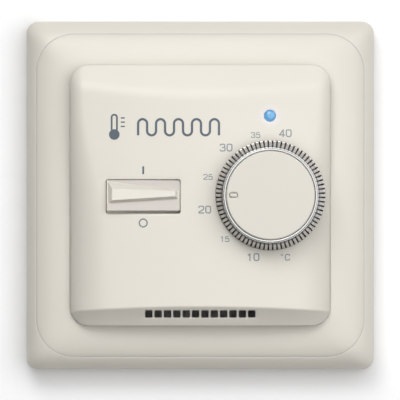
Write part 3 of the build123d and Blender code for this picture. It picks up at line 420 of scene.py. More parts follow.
def triangulated(loops, spare, merge=1e-4):
    """Flat triangles through closed loops and spare points: the points, then the triangles.
    Neighbours in a loop that are closer than merge become one point."""
    coords, edges = [], []
    for loop in loops:
        clean = []
        for p in loop:
            if not clean or math.dist(p, clean[-1]) > merge:
                clean.append(p)
        if math.dist(clean[0], clean[-1]) < merge:
            clean.pop()
        start = len(coords)
        coords += clean
        edges += [(start + i, start + (i + 1) % len(clean)) for i in range(len(clean))]
    made = geometry.delaunay_2d_cdt([Vector(c) for c in coords + spare], edges, [], 0, 1e-5)
    return made[0], made[2]


def facing(flat, tri):
    """A triangle's corners in the order that makes it face the front."""
    a, b, c = (flat[i] for i in tri)
    return tuple(tri) if (b - a).cross(c - a) > 0 else tuple(reversed(tri))


STEP = 0.01  # reach of the differences that give a slope


def slope_normal(height, x, z):
    """A height field's outward direction, from its slope."""
    slope_x = (height(x + STEP, z) - height(x - STEP, z)) / (2 * STEP)
    slope_z = (height(x, z + STEP) - height(x, z - STEP)) / (2 * STEP)
    return Vector((-slope_x, -1.0, -slope_z)).normalized()


def outward(distance, x, z):
    """The sideways direction in which a distance grows."""
    across = distance(x + STEP, z) - distance(x - STEP, z)
    up = distance(x, z + STEP) - distance(x, z - STEP)
    return Vector((across, 0.0, up)).normalized()


# a corner normal of zero is left for Blender to work out
AUTO_NORMAL = Vector((0.0, 0.0, 0.0))


def plate(loops, spare, inside, front, back, side_normal):
    """A closed plate between two height fields: its points, faces and corner normals."""
    flat, triangles = triangulated(loops, spare)
    count = len(flat)
    points = [spot(p.x, front(p.x, p.y), p.y) for p in flat]
    points += [spot(p.x, back(p.x, p.y), p.y) for p in flat]
    front_normals = [slope_normal(front, p.x, p.y) for p in flat]
    faces, normals, used = [], [], set()
    for tri in triangles:
        if not inside(sum(flat[i].x for i in tri) / 3, sum(flat[i].y for i in tri) / 3):
            continue
        ordered = facing(flat, tri)
        faces.append(ordered)
        normals.append([front_normals[i] for i in ordered])
        faces.append(tuple(i + count for i in reversed(ordered)))
        normals.append([AUTO_NORMAL] * 3)
        used.update((ordered[i], ordered[(i + 1) % 3]) for i in range(3))
    for a, b in sorted(used):
        if (b, a) in used:
            continue
        faces.append((b, a, a + count, b + count))
        at_a, at_b = side_normal(flat[a].x, flat[a].y), side_normal(flat[b].x, flat[b].y)
        normals.append([at_b, at_a, at_a, at_b])
    return points, faces, normals


def with_normals(name, points, faces, normals):
    """A mesh object with its own corner normals."""
    made = new_object(name, points, faces)
    made.data.normals_split_custom_set([tuple(n) for group in normals for n in group])
    return made


# ---- trim frame: mitred bands that rise to the window, with a fine groove round them ----
COVER_CORNER = 4.5
FRAME_CORNER = 2.9
FRAME_WALL = 1.8
WINDOW_GAP = 0.03
WINDOW_HALF = COVER_HALF + WINDOW_GAP
WINDOW_HEIGHT = FRAME_TOP - 0.25
WINDOW_ROUND = 0.06
WINDOW_WALL = 1.5
WINDOW_BACK = 3.0
FRAME_EDGE_ROUND = 0.4
MITRE_SOFTNESS = 3.4
INNER_SLOPE = 0.08
OUTER_SLOPE = 1.5
SLOPE_FADE = 2.5
GROOVE_HALF_X = 38.65
GROOVE_HALF_Z = 38.05
GROOVE_CORNER = 8.9
GROOVE_REACH = 0.13
GROOVE_DEPTH = 0.1
GROOVE_PAINTED_SHADE_REACH = 0.07
FRAME_GRID = 82


def frame_distance(x, z):
    """How far a point is inside the frame's outline."""
    return -box_distance(x, z, FRAME_HALF, FRAME_HALF, FRAME_CORNER, (0.0, 0.0))


def window_distance(x, z):
    """How far a point is outside the frame's window."""
    return box_distance(x, z, WINDOW_HALF, WINDOW_HALF, COVER_CORNER + WINDOW_GAP, (0.0, 0.0))


def groove_distance(x, z):
    """How far a point is from the groove's centre line, positive outside."""
    return box_distance(x, z, GROOVE_HALF_X, GROOVE_HALF_Z, GROOVE_CORNER, (0.0, 0.0))


def band_height(x, z):
    """Height of the frame's bands: steep at the outer edge, gentle at the window."""
    inset = FRAME_HALF + soft_min(-abs(x), -abs(z), MITRE_SOFTNESS)
    span = FRAME_HALF - WINDOW_HALF
    steep = math.exp(-inset / SLOPE_FADE) - math.exp(-span / SLOPE_FADE)
    return WINDOW_HEIGHT - INNER_SLOPE * (span - inset) - OUTER_SLOPE * SLOPE_FADE * steep


def frame_front(x, z):
    """Height of the frame's face with its rounded edges and its groove."""
    height = band_height(x, z)
    height -= edge_drop(frame_distance(x, z), FRAME_EDGE_ROUND)
    height -= edge_drop(window_distance(x, z), WINDOW_ROUND)
    aside = abs(groove_distance(x, z))
    if aside < GROOVE_REACH:
        height -= GROOVE_DEPTH * (1 - (aside / GROOVE_REACH) ** 2) ** 2
    return height


def frame_back(x, z):
    """Height of the frame's hollow back; its outer wall reaches the wall plane."""
    if frame_distance(x, z) < FRAME_WALL + 0.01:
        return 0.0
    if window_distance(x, z) < WINDOW_WALL + 0.01:
        return WINDOW_BACK
    return band_height(x, z) - FRAME_WALL


def frame_side(x, z):
    """Sideways direction of a wall: out of the outline, or towards the middle of the window."""
    if frame_distance(x, z) < 0.1:
        return -outward(frame_distance, x, z)
    return -outward(window_distance, x, z)


def build_trim_frame():
    window_corner = COVER_CORNER + WINDOW_GAP
    loops = [
        rounded_square(FRAME_HALF - i, FRAME_HALF - i, FRAME_CORNER - i, 24, 40)
        for i in (0.0, 0.01, 0.05, 0.12, 0.22, 0.4, FRAME_WALL)
    ]
    loops += [
        rounded_square(WINDOW_HALF + i, WINDOW_HALF + i, window_corner + i, 24, 40)
        for i in (0.0, 0.03, WINDOW_ROUND, 0.5, WINDOW_WALL)
    ]
    loops += [
        rounded_square(GROOVE_HALF_X + i, GROOVE_HALF_Z + i, GROOVE_CORNER + i, 36, 40)
        for i in (-GROOVE_REACH, -0.09, -0.05, 0.0, 0.05, 0.09, GROOVE_REACH)
    ]
    spare = []
    for i in range(FRAME_GRID + 1):
        for j in range(FRAME_GRID + 1):
            x = -FRAME_HALF + 2 * FRAME_HALF * i / FRAME_GRID
            z = -FRAME_HALF + 2 * FRAME_HALF * j / FRAME_GRID
            groove = abs(groove_distance(x, z))
            edge, window = frame_distance(x, z), window_distance(x, z)
            clear = abs(edge - FRAME_WALL) > 0.3 and abs(window - WINDOW_WALL) > 0.3
            if edge > 0.7 and window > 0.7 and groove > 0.4 and clear:
                spare.append((x, z))

    def inside(x, z):
        return frame_distance(x, z) > 0 and window_distance(x, z) > 0

    shell = plate(loops, spare, inside, frame_front, frame_back, frame_side)
    return with_normals("frame_shell", *shell)


trim = build_trim_frame()
finish_piece(trim, "base", ivory_frame_painted_shade, ["trim_frame"])
# painted shade: the faces along the groove's middle get a darker grey
trim.data.materials.append(groove_painted_shade)
for polygon in trim.data.polygons:
    middle = polygon.center / MM
    if polygon.normal.y < 0 and abs(groove_distance(middle.x, middle.z)) < GROOVE_PAINTED_SHADE_REACH:
        polygon.material_index = 1

# ---- front cover: bulged across, bevelled above and below ----
BARREL_RADIUS = 180.0
COVER_EDGE_ROUND = 0.2
COVER_WALL = 1.8
COVER_BACK = 3.0
# each bevel: side, its width in the middle, slope, hollow, how much its ends hang, softness
BEVELS = [(1, 6.9, 0.45, 0.0, 1.5, 0.7), (-1, 4.5, 1.05, 0.04, 1.5, 0.3)]

# the sides roll down, in a band that gets narrower and shallower from ROLL_START upwards
ROLL_WIDTH = 9.0
ROLL_WIDTH_LOSS = 5.8
ROLL_DROP = 5.1
ROLL_DROP_LOSS = 2.6
ROLL_POWER = 2.1
ROLL_START = -12.0
ROLL_SPAN = 36.0

RECESS_RADIUS = 11.4
RECESS_FLOOR = 16.6
RECESS_BACK = 15.0
RECESS_WALL = 1.6
SHAFT_HOLE = 3.6
SWITCH_HALF_X = 8.75
SWITCH_HALF_Z = 4.05
SWITCH_CORNER = 0.5
# the cover is relieved behind the rocker's opening for the swing of its edges
SWITCH_COLLAR = 0.7
RELIEF_HALF_X = 9.2
RELIEF_HALF_Z = 5.4
LIGHT_HOLE = 1.4
VENT_COUNT = 12
VENT_Z = -27.9
VENT_PITCH = 2.2
VENT_HALF = 0.875
VENT_CORNER = 0.3


def opening(x, z, half_x, half_z, corner, rim):
    """A hole in the cover with a rounded rim. Its shape is its middle, the half sizes of the
    core between its corners, and the corners' radius."""
    return {"shape": (x, z, half_x - corner, half_z - corner, corner), "round": rim}


HOLES = [
    opening(KNOB_X, KNOB_Z, RECESS_RADIUS, RECESS_RADIUS, RECESS_RADIUS, 0.2),
    opening(ROCKER_X, ROCKER_Z, SWITCH_HALF_X, SWITCH_HALF_Z, SWITCH_CORNER, 0.1),
    opening(LIGHT_X, LIGHT_Z, LIGHT_HOLE, LIGHT_HOLE, LIGHT_HOLE, 0.06),
]
for index in range(VENT_COUNT):
    vent_x = (index - (VENT_COUNT - 1) / 2) * VENT_PITCH
    HOLES.append(opening(vent_x, VENT_Z, VENT_HALF, VENT_HALF, VENT_CORNER, 0.16))


def hole_distance(x, z, shape):
    """How far a point is outside a hole's edge."""
    cx, cz, core_x, core_z, radius = shape
    return box_distance(x, z, core_x + radius, core_z + radius, radius, (cx, cz))


def cover_distance(x, z):
    """How far a point is inside the cover's outline."""
    return -box_distance(x, z, COVER_HALF, COVER_HALF, COVER_CORNER, (0.0, 0.0))


def barrel(x):
    """Height of the cover's bulged middle."""
    return COVER_TOP - BARREL_RADIUS + math.sqrt(BARREL_RADIUS**2 - x * x)


def cover_face(x, z):
    """Height of the cover's face without its holes."""
    x = max(-COVER_HALF + 0.0005, min(COVER_HALF - 0.0005, x))
    height = barrel(x)
    for side, width, slope, hollow, hang, softness in BEVELS:
        beyond = side * z - (COVER_HALF - width)
        bevel = COVER_TOP - slope * beyond + hollow * max(beyond, 0.0) ** 2
        height = soft_min(height, bevel - hang * (x / COVER_HALF) ** 2, softness)
    share = max(0.0, min(1.0, (z - ROLL_START) / ROLL_SPAN))
    share = share * share * (3 - 2 * share)
    width = ROLL_WIDTH - ROLL_WIDTH_LOSS * share
    into = (abs(x) - (COVER_HALF - width)) / width
    if into > 0:
        drop = ROLL_DROP - ROLL_DROP_LOSS * share
        height -= drop * (1 - math.sqrt(max(1 - into**ROLL_POWER, 0.0)))
    return height - edge_drop(cover_distance(x, z), COVER_EDGE_ROUND)


def cover_front(x, z):
    """Height of the cover's face with the rounded rims of its holes."""
    height = cover_face(x, z)
    for hole in HOLES:
        distance = hole_distance(x, z, hole["shape"])
        if distance < hole["round"]:
            height -= edge_drop(distance, hole["round"])
    return height


def cover_back(x, z):
    """Height of the cover's hollow back."""
    if cover_distance(x, z) < COVER_WALL:
        return COVER_BACK
    if math.hypot(x - KNOB_X, z - KNOB_Z) < RECESS_RADIUS + RECESS_WALL:
        return RECESS_BACK
    if abs(x - ROCKER_X) < RELIEF_HALF_X and abs(z - ROCKER_Z) < RELIEF_HALF_Z:
        return cover_face(x, z) - SWITCH_COLLAR
    return cover_face(x, z) - COVER_WALL


def cover_side(x, z):
    """Sideways direction of a wall: out of the outline, or towards the middle of a hole."""
    if abs(cover_distance(x, z)) < 0.02:
        return -outward(cover_distance, x, z)
    nearest = min(HOLES, key=lambda hole: abs(hole_distance(x, z, hole["shape"])))
    return -outward(lambda a, b: hole_distance(a, b, nearest["shape"]), x, z)


def hole_loop(shape, grow, corner, side):
    """A hole's edge, moved outwards by grow."""
    cx, cz, core_x, core_z, radius = shape
    reach = radius + grow
    return rounded_square(core_x + reach, core_z + reach, reach, corner, side, (cx, cz))


def build_front_cover():
    loops = [
        rounded_square(COVER_HALF - i, COVER_HALF - i, COVER_CORNER - i, 16, 48)
        for i in (0.0, 0.01, 0.05, 0.1, 0.2, 0.6)
    ]
    for hole in HOLES:
        core_x, radius = hole["shape"][2], hole["shape"][4]
        if core_x == 0.0:
            corner, side = (40 if radius > 5 else 12), 1
        else:
            corner, side = (6, 24) if core_x > 2 else (4, 2)
        for share in (0.0, 0.1, 0.35, 0.8):
            loops.append(hole_loop(hole["shape"], share * hole["round"], corner, side))

    def free(x, z, room):
        if cover_distance(x, z) < 0.6 + room:
            return False
        return all(hole_distance(x, z, h["shape"]) > h["round"] + room for h in HOLES)

    spare = []
    columns = [float(i) for i in range(-30, 31)]
    for sign in (-1, 1):
        columns += [sign * (COVER_HALF - ROLL_WIDTH - 0.5 + 0.55 * i) + 0.27 for i in range(16)]
    for x in columns:
        for row in range(-30, 31):
            if free(x, float(row), 0.3):
                spare.append((x, float(row)))
        # extra points where the face turns into the two bevels
        for side, width, slope, hollow, hang, softness in BEVELS:
            fall = COVER_TOP - barrel(x) - hang * (x / COVER_HALF) ** 2
            crease = COVER_HALF - width + fall / slope
            for off in (-0.6, -0.35, -0.15, 0.0, 0.15, 0.35, 0.6):
                z = side * crease + off + 0.013
                if free(x, z, 0.15):
                    spare.append((x + 0.07, z))

    def inside(x, z):
        if cover_distance(x, z) < 0:
            return False
        return all(hole_distance(x, z, h["shape"]) > 0 for h in HOLES)

    points, faces, normals = plate(loops, spare, inside, cover_front, cover_back, cover_side)
    # floor of the recess under the knob
    outer = RECESS_RADIUS + 0.4
    floor_profile = [
        (outer, RECESS_FLOOR, 0.0),
        (outer, RECESS_BACK, 0.0),
        (SHAFT_HOLE, RECESS_BACK, 0.0),
        (SHAFT_HOLE, RECESS_FLOOR, 0.0),
    ]
    floor_points, floor_faces = turned(floor_profile, 160, (KNOB_X, KNOB_Z))
    base = len(points)
    points += floor_points
    for face in floor_faces:
        faces.append(tuple(base + i for i in face))
        normals.append([AUTO_NORMAL] * 4)
    return with_normals("cover_shell", points, faces, normals)


cover = build_front_cover()
finish_piece(cover, "base", cover_material(), ["front_cover"])


# ---- knob ----
KNOB_CENTRE = (KNOB_X, KNOB_Z)
GRIP_TEETH = 76
TOOTH_STEPS = 16
TOOTH_DEPTH = 0.5
GAP_SHARE = 0.22
FLANK_SHARE = 0.2


def tooth_depth(angle):
    """Depth of the gaps between the ribs: flat floors with steep flanks."""
    turn = (GRIP_TEETH * angle / (2 * math.pi)) % 1.0
    aside = abs(turn - 0.5) / 0.5
    if aside < GAP_SHARE:
        return TOOTH_DEPTH
    crown = (aside - GAP_SHARE) / (1 - GAP_SHARE)
    return TOOTH_DEPTH * max(0.0, 1 - crown / FLANK_SHARE)


# a smooth flange at the wall side, then the ribs, then a smooth front edge
grip_profile = [
    (BEZEL_RADIUS, GRIP_BASE + 0.05, 0.0),
    (12.0, GRIP_BASE, 0.0),
    (12.75, GRIP_BASE + 0.02, 0.0),
    (GRIP_RADIUS - 0.03, GRIP_BASE + 0.12, 0.0),
    (GRIP_RADIUS, GRIP_BASE + 0.5, 0.0),
    (GRIP_RADIUS - 0.05, GRIP_BASE + 0.62, 0.0),
    (12.72, GRIP_BASE + 0.66, 1.0),
    (12.68, GRIP_BASE + 1.6, 1.1),
    (12.5, GRIP_BASE + 2.9, 1.1),
    (12.25, GRIP_BASE + 4.1, 1.0),
    (11.95, GRIP_TOP - 1.0, 0.9),
    (11.75, GRIP_TOP - 0.6, 0.8),
    (11.5, GRIP_TOP - 0.25, 0.6),
    (11.28, GRIP_TOP - 0.06, 0.15),
    (11.2, GRIP_TOP, 0.0),
    (BEZEL_RADIUS, GRIP_TOP, 0.0),
]
# rows of faces up to the flange's end, the end of the darkest painted shade and the ribs' end
FLANGE_ROWS = 5
DARK_ROWS = 8
RIB_ROWS = 12
GAP_MARGIN = 0.8
points, faces = turned(grip_profile, GRIP_TEETH * TOOTH_STEPS, KNOB_CENTRE, tooth_depth)
grip = new_object("grip_ring", points, faces)
finish_piece(grip, "knob", satin_metal, ["knob_grip"], sharp=50)
# painted shade: the flange and the gaps' floors low down are near black, the gaps higher up dark grey
grip.data.materials.append(painted_gap_shade)
grip.data.materials.append(painted_gap_shade_upper)
for index, polygon in enumerate(grip.data.polygons):
    row, column = divmod(index, GRIP_TEETH * TOOTH_STEPS)
    aside = abs(column % TOOTH_STEPS + 0.5 - TOOTH_STEPS / 2)
    in_gap = aside < TOOTH_STEPS / 2 * GAP_SHARE + GAP_MARGIN
    if row < FLANGE_ROWS or row < RIB_ROWS and in_gap:
        polygon.material_index = 1 if row < DARK_ROWS else 2

bezel_profile = [
    (BEZEL_RADIUS - 0.62, GRIP_BASE + 0.2, 0.0),
    (BEZEL_RADIUS, GRIP_BASE + 0.2, 0.0),
    (BEZEL_RADIUS, GRIP_TOP - 0.1, 0.0),
    (BEZEL_RADIUS - 0.01, BEZEL_TOP - 0.3, 0.0),
    (BEZEL_RADIUS - 0.05, BEZEL_TOP - 0.12, 0.0),
    (BEZEL_RADIUS - 0.13, BEZEL_TOP - 0.02, 0.0),
    (BEZEL_RADIUS - 0.22, BEZEL_TOP, 0.0),
    (BEZEL_RADIUS - 0.46, BEZEL_TOP, 0.0),
    (BEZEL_RADIUS - 0.54, BEZEL_TOP - 0.03, 0.0),
    (BEZEL_RADIUS - 0.6, BEZEL_TOP - 0.12, 0.0),
    (BEZEL_RADIUS - 0.62, BEZEL_TOP - 0.4, 0.0),
]
points, faces = turned(bezel_profile, 240, KNOB_CENTRE)
bezel = new_object("bright_bezel", points, faces)
finish_piece(bezel, "knob", bright_metal, ["knob_bezel"], sharp=60)

# cap: its face carries the sunk pointer loop
CAP_RADIUS = BEZEL_RADIUS - 0.65
CAP_STEPS = 200
CAP_GRID = 0.45
POINTER = (KNOB_X - 8.7, KNOB_Z)
POINTER_HALF_X = 1.075
POINTER_HALF_Z = 0.675
POINTER_CORNER = 0.674
POINTER_INSET = 0.14
POINTER_REACH = 0.24
POINTER_DEPTH = 0.2


def pointer_distance(x, z):
    """How far a point is outside the pointer's outline."""
    return box_distance(x, z, POINTER_HALF_X, POINTER_HALF_Z, POINTER_CORNER, POINTER)


def pointer_aside(x, z):
    """How far a point is from the middle of the sunk loop, which runs inside the outline."""
    return abs(pointer_distance(x, z) + POINTER_INSET)


def cap_height(x, z):
    """Height of the cap's slightly domed face with its sunk loop."""
    reach = math.hypot(x - KNOB_X, z - KNOB_Z) / CAP_RADIUS
    sunk = POINTER_DEPTH * max(0.0, 1 - (pointer_aside(x, z) / POINTER_REACH) ** 2)
    return CAP_TOP - 0.02 * reach**2 - sunk


def build_cap():
    loops = [circle_path(KNOB_CENTRE, CAP_RADIUS - i, CAP_STEPS) for i in (0.38, 0.44, 1.2)]
    for grow in (-0.42, -0.34, -0.26, -0.2, -0.14, -0.08, -0.02, 0.06, 0.14, 0.3):
        half_z = POINTER_HALF_Z + grow
        loops.append(rounded_square(POINTER_HALF_X + grow, half_z, half_z - 0.001, 10, 4, POINTER))
    spare = []
    for i in range(-22, 23):
        for j in range(-22, 23):
            x, z = KNOB_X + i * CAP_GRID, KNOB_Z + j * CAP_GRID
            on_cap = math.hypot(x - KNOB_X, z - KNOB_Z) <= CAP_RADIUS - 1.4
            if on_cap and pointer_distance(x, z) > 0.45:
                spare.append((x, z))
    flat, triangles = triangulated(loops, spare, merge=1e-3)
    points = [spot(p.x, cap_height(p.x, p.y), p.y) for p in flat]
    faces = [facing(flat, tri) for tri in triangles]
    # rounded edge, side wall, hollow underside and hub
    outline = [
        (CAP_RADIUS - 0.24, CAP_TOP - 0.06),
        (CAP_RADIUS - 0.11, CAP_TOP - 0.15),
        (CAP_RADIUS - 0.03, CAP_TOP - 0.3),
        (CAP_RADIUS, CAP_TOP - 0.6),
        (CAP_RADIUS, GRIP_BASE + 0.25),
        (CAP_RADIUS - 1.5, GRIP_BASE + 0.25),
        (CAP_RADIUS - 1.6, CAP_TOP - 1.7),
        (4.4, CAP_TOP - 1.7),
        (4.2, CAP_TOP - 2.0),
        (4.2, CAP_BOTTOM + 0.2),
        (4.0, CAP_BOTTOM),
        (3.0, CAP_BOTTOM),
        (3.0, CAP_TOP - 3.0),
    ]
    last = list(range(CAP_STEPS))
    for radius, height in outline:
        start = len(points)
        points += ring_points(radius, height, CAP_STEPS, KNOB_CENTRE)
        ring = [start + i for i in range(CAP_STEPS)]
        for i in range(CAP_STEPS):
            j = (i + 1) % CAP_STEPS
            faces.append((last[i], ring[i], ring[j], last[j]))
        last = ring
    faces.append(tuple(last))
    return new_object("knob_cap", points, faces)


cap = build_cap()
finish_piece(cap, "knob", ivory_cap_painted_shade, ["knob_body"], sharp=50)
# painted shade: the floor of the sunk pointer loop gets a dark grey
cap.data.materials.append(pointer_painted_shade)
for polygon in cap.data.polygons:
    middle = polygon.center / MM
    if -middle.y > CAP_TOP - 0.4 and pointer_aside(middle.x, middle.z) < 0.1:
        polygon.material_index = 1

# ---- indicator lens ----
LENS_RADIUS = 1.36
LENS_STEM = 1.2
LENS_DOME = 0.55
LENS_STEPS = 12
lens_top = cover_face(LIGHT_X, LIGHT_Z) + 0.25
lens_back = -lens_high.y
lens_profile = [
    (0.001, lens_back, 0.0),
    (LENS_STEM, lens_back, 0.0),
    (LENS_STEM, lens_back + 3.6, 0.0),
    (LENS_RADIUS, lens_back + 4.0, 0.0),
]
for step in range(LENS_STEPS, -1, -1):
    tilt = math.radians(90 * step / LENS_STEPS)
    height = lens_top - LENS_DOME * (1 - math.cos(tilt))
    lens_profile.append((LENS_RADIUS * math.sin(tilt) + 0.001, height, 0.0))
points, faces = turned(lens_profile, 64, (LIGHT_X, LIGHT_Z))
lens = new_object("indicator_lens", points, faces)
finish_piece(lens, "base", slot_materials["light_window"], ["light_guide"], sharp=50)

# ---- rocker ----
ROCKER_TILT = math.radians(6.0)
ROCKER_HALF = 8.6
FACE = 3.1
FACE_LIP = 0.4
EDGE_ROUND = 0.13


def rocker_point(u, w, v):
    """A point on the tilted rocker: along it, out of its face and up its face."""
    height = ROCKER_PIVOT + w * math.cos(ROCKER_TILT) - v * math.sin(ROCKER_TILT)
    z = ROCKER_Z + w * math.sin(ROCKER_TILT) + v * math.cos(ROCKER_TILT)
    return spot(ROCKER_X + u, height, z)


def stacked(rings):
    """A closed solid through rings of corners, from its back to its front."""
    points, faces = loft(rings)
    size = len(rings[0])
    faces.append(tuple(reversed(range(size))))
    faces.append(tuple(range(len(points) - size, len(points))))
    return points, faces


def four_corners(across, low, high, out, lip=0.0):
    """Four corners of a ring; each argument is a pair for the left and the right end."""
    return [
        rocker_point(across[0], out[0] + lip, low[0]),
        rocker_point(across[1], out[1] + lip, low[1]),
        rocker_point(across[1], out[1], high[1]),
        rocker_point(across[0], out[0], high[0]),
    ]


def even_ring(low, high, out, lip=0.0):
    """A ring of corners over the rocker's whole length."""
    ends = (-ROCKER_HALF, ROCKER_HALF)
    return four_corners(ends, (low, low), (high, high), (out, out), lip)


def build_rocker():
    # the back, its edge, the face, the foot of the slanting ridge and the ridge's top
    body = [
        even_ring(-3.82, 3.68, 1.5),
        even_ring(-3.8, 3.66, 1.75),
        even_ring(-3.64, 3.58, FACE, FACE_LIP),
        four_corners((-8.35, 8.2), (-1.85, -0.85), (3.45, 1.25), (2.85, 3.0)),
        four_corners((-7.35, 7.5), (-1.35, -0.4), (1.5, 0.9), (4.2, 4.3)),
    ]
    points, faces = stacked(body)
    # skirts beside the switch's ears, stepped in where they pass the cover's opening
    for side in (-1, 1):
        rings = []
        for reach, rise in ((4.45, -0.3), (4.45, 0.4), (3.75, 0.6), (3.6, 1.7)):
            low, high = sorted((side * 2.7, side * reach))
            rings.append(even_ring(low, high, rise))
        skirt_points, skirt_faces = stacked(rings)
        base = len(points)
        points += skirt_points
        faces += [tuple(base + i for i in face) for face in skirt_faces]
    return new_object("rocker_cap", points, faces)


rocker = build_rocker()
rounding = rocker.modifiers.new("rounding", "BEVEL")
rounding.width = EDGE_ROUND * MM
rounding.segments = 3
rounding.limit_method = "ANGLE"
rounding.angle_limit = math.radians(8)
rounding.harden_normals = True
finish_piece(rocker, "rocker", ivory, ["rocker"])
# four faces to a ring, the low one first, then the two ends of the body and the skirts
LOW_WALL = 4
FLATS = (8, 10)
FIRST_SKIRT_FACE = 18
# the rocker's two flats get painted shade
rocker.data.materials.append(rocker_flat_painted_shade)
# its low wall and skirts get painted light
rocker.data.materials.append(ledge_painted_light)
for polygon in rocker.data.polygons:
    if polygon.index in FLATS:
        polygon.material_index = 1
    elif polygon.index == LOW_WALL or polygon.index >= FIRST_SKIRT_FACE:
        polygon.material_index = 2


# ---- printed marks: thin inlays that follow the cover ----
INLAY_LIFT = 0.012
INLAY_SINK = 0.05


def inlay(name, flat, faces, material, lift=INLAY_LIFT):
    """A thin closed plate on the cover's face, from a flat outline cut into faces."""
    count = len(flat)
    points = [spot(x, cover_face(x, z) + lift, z) for x, z in flat]
    points += [spot(x, cover_face(x, z) - INLAY_SINK, z) for x, z in flat]
    solid = []
    edges = set()
    for face in faces:
        pairs = [(face[i], face[(i + 1) % len(face)]) for i in range(len(face))]
        area = sum(flat[a][0] * flat[b][1] - flat[b][0] * flat[a][1] for a, b in pairs)
        front = tuple(face) if area > 0 else tuple(reversed(face))
        solid.append(front)
        solid.append(tuple(i + count for i in reversed(front)))
        edges.update((front[i], front[(i + 1) % len(front)]) for i in range(len(front)))
    for a, b in sorted(edges):
        if (b, a) not in edges:
            solid.append((b, a, a + count, b + count))
    made = new_object(name, points, solid, smooth=False)
    finish_piece(made, "base", material)


def filled(name, outline, material):
    """An inlay that fills an outline."""
    inlay(name, outline, [tuple(range(len(outline)))], material)


def stroke(path, width, closed=False):
    """A band of even width along a path, as flat points and quads."""
    flat, faces = [], []
    count = len(path)
    for i, p in enumerate(path):
        before = path[(i - 1) % count] if closed or i > 0 else p
        after = path[(i + 1) % count] if closed or i < count - 1 else p
        a = Vector((p[0] - before[0], p[1] - before[1]))
        b = Vector((after[0] - p[0], after[1] - p[1]))
        a = a.normalized() if a.length > 0 else b.normalized()
        b = b.normalized() if b.length > 0 else a
        middle = (a + b).normalized()
        reach = width / 2 / max(middle.dot(a), 0.5)
        flat.append((p[0] - middle.y * reach, p[1] + middle.x * reach))
        flat.append((p[0] + middle.y * reach, p[1] - middle.x * reach))
    for i in range(count if closed else count - 1):
        j = (i + 1) % count
        faces.append((2 * i, 2 * i + 1, 2 * j + 1, 2 * j))
    return flat, faces


def soften(path, radius):
    """A path with its inner corners rounded."""
    made = [path[0]]
    for i in range(1, len(path) - 1):
        here = Vector(path[i])
        back = Vector(path[i - 1]) - here
        ahead = Vector(path[i + 1]) - here
        start = here + back.normalized() * min(radius, back.length / 2)
        end = here + ahead.normalized() * min(radius, ahead.length / 2)
        for step in range(7):
            t = step / 6
            made.append(tuple(start * (1 - t) ** 2 + here * 2 * t * (1 - t) + end * t * t))
    made.append(path[-1])
    return made


# strokes of each sign in a box 0.6 wide and 0.84 high: (path, corner radius)
SIGNS = {
    "0": [([(0.3, 0.84), (0.0, 0.84), (0.0, 0.0), (0.6, 0.0), (0.6, 0.84), (0.299, 0.84)], 0.26)],
    "1": [([(0.08, 0.64), (0.34, 0.84), (0.34, -0.07)], 0.03)],
    "2": [
        ([(0.0, 0.62), (0.0, 0.84), (0.6, 0.84), (0.6, 0.46), (0.0, 0.12), (0.0, 0.0), (0.66, 0.0)], 0.17)
    ],
    "3": [
        ([(0.0, 0.64), (0.0, 0.84), (0.57, 0.84), (0.57, 0.44), (0.2, 0.44)], 0.18),
        ([(0.2, 0.44), (0.6, 0.44), (0.6, 0.0), (0.0, 0.0), (0.0, 0.2)], 0.18),
    ],
    "4": [([(0.47, -0.07), (0.47, 0.84), (0.0, 0.22), (0.68, 0.22)], 0.02)],
    "5": [
        (
            [(0.57, 0.84), (0.07, 0.84), (0.03, 0.42), (0.3, 0.52)]
            + [(0.6, 0.5), (0.6, 0.0), (0.0, 0.0), (0.0, 0.16)],
            0.1,
        )
    ],
    "C": [([(0.6, 0.6), (0.6, 0.84), (0.0, 0.84), (0.0, 0.0), (0.6, 0.0), (0.6, 0.24)], 0.26)],
}
SIGN_WIDTH = 0.6
SIGN_HEIGHT = 0.84
SIGN_STROKE = 0.15
SIGN_ADVANCE = 0.86


def printed(name, words, height, centre, material):
    """Numerals of this height about a centre, as inlays in the cover's face."""
    unit = height / (SIGN_HEIGHT + SIGN_STROKE)
    left = centre[0] - unit * (SIGN_ADVANCE * (len(words) - 1) + SIGN_WIDTH) / 2
    low = centre[1] - unit * SIGN_HEIGHT / 2
    for index, sign in enumerate(words):
        for number, (path, radius) in enumerate(SIGNS[sign]):
            shift = left + unit * SIGN_ADVANCE * index
            placed = [(shift + unit * x, low + unit * y) for x, y in soften(path, radius)]
            label = f"{name}_{index + 1}" + (f"_{number + 1}" if number else "")
            # a second stroke lies a little higher than the one that it meets
            lift = INLAY_LIFT + 0.002 * number
            inlay(label, *stroke(placed, SIGN_STROKE * unit), material, lift)


# (numerals, degrees clockwise from the top, distance from the knob's centre, height)
SCALE = [
    ("10", 195.7, 15.1, 1.85),
    ("15", 226.3, 14.9, 1.35),
    ("20", 257.7, 15.8, 1.85),
    ("25", 286.4, 15.3, 1.35),
    ("30", 317.1, 15.3, 1.85),
    ("35", 346.2, 14.6, 1.35),
    ("40", 13.5, 15.0, 1.85),
    ("C", 164.6, 15.1, 1.6),
]
for words, degrees, distance, height in SCALE:
    angle = math.radians(degrees)
    centre = (KNOB_X + distance * math.sin(angle), KNOB_Z + distance * math.cos(angle))
    printed(f"scale_{words}", words, height, centre, scale_ink)

degree_centre = (KNOB_X + 2.7, KNOB_Z - 14.0)
inlay("scale_degree", *stroke(circle_path(degree_centre, 0.22, 20), 0.12, True), scale_ink)

inlay("mark_off", *stroke(circle_path((ROCKER_X, -6.5), 0.92), 0.32, True), print_ink_soft)
filled("mark_on", rounded_square(0.22, 0.95, 0.2, 5, 2, (ROCKER_X, 5.9)), print_ink)

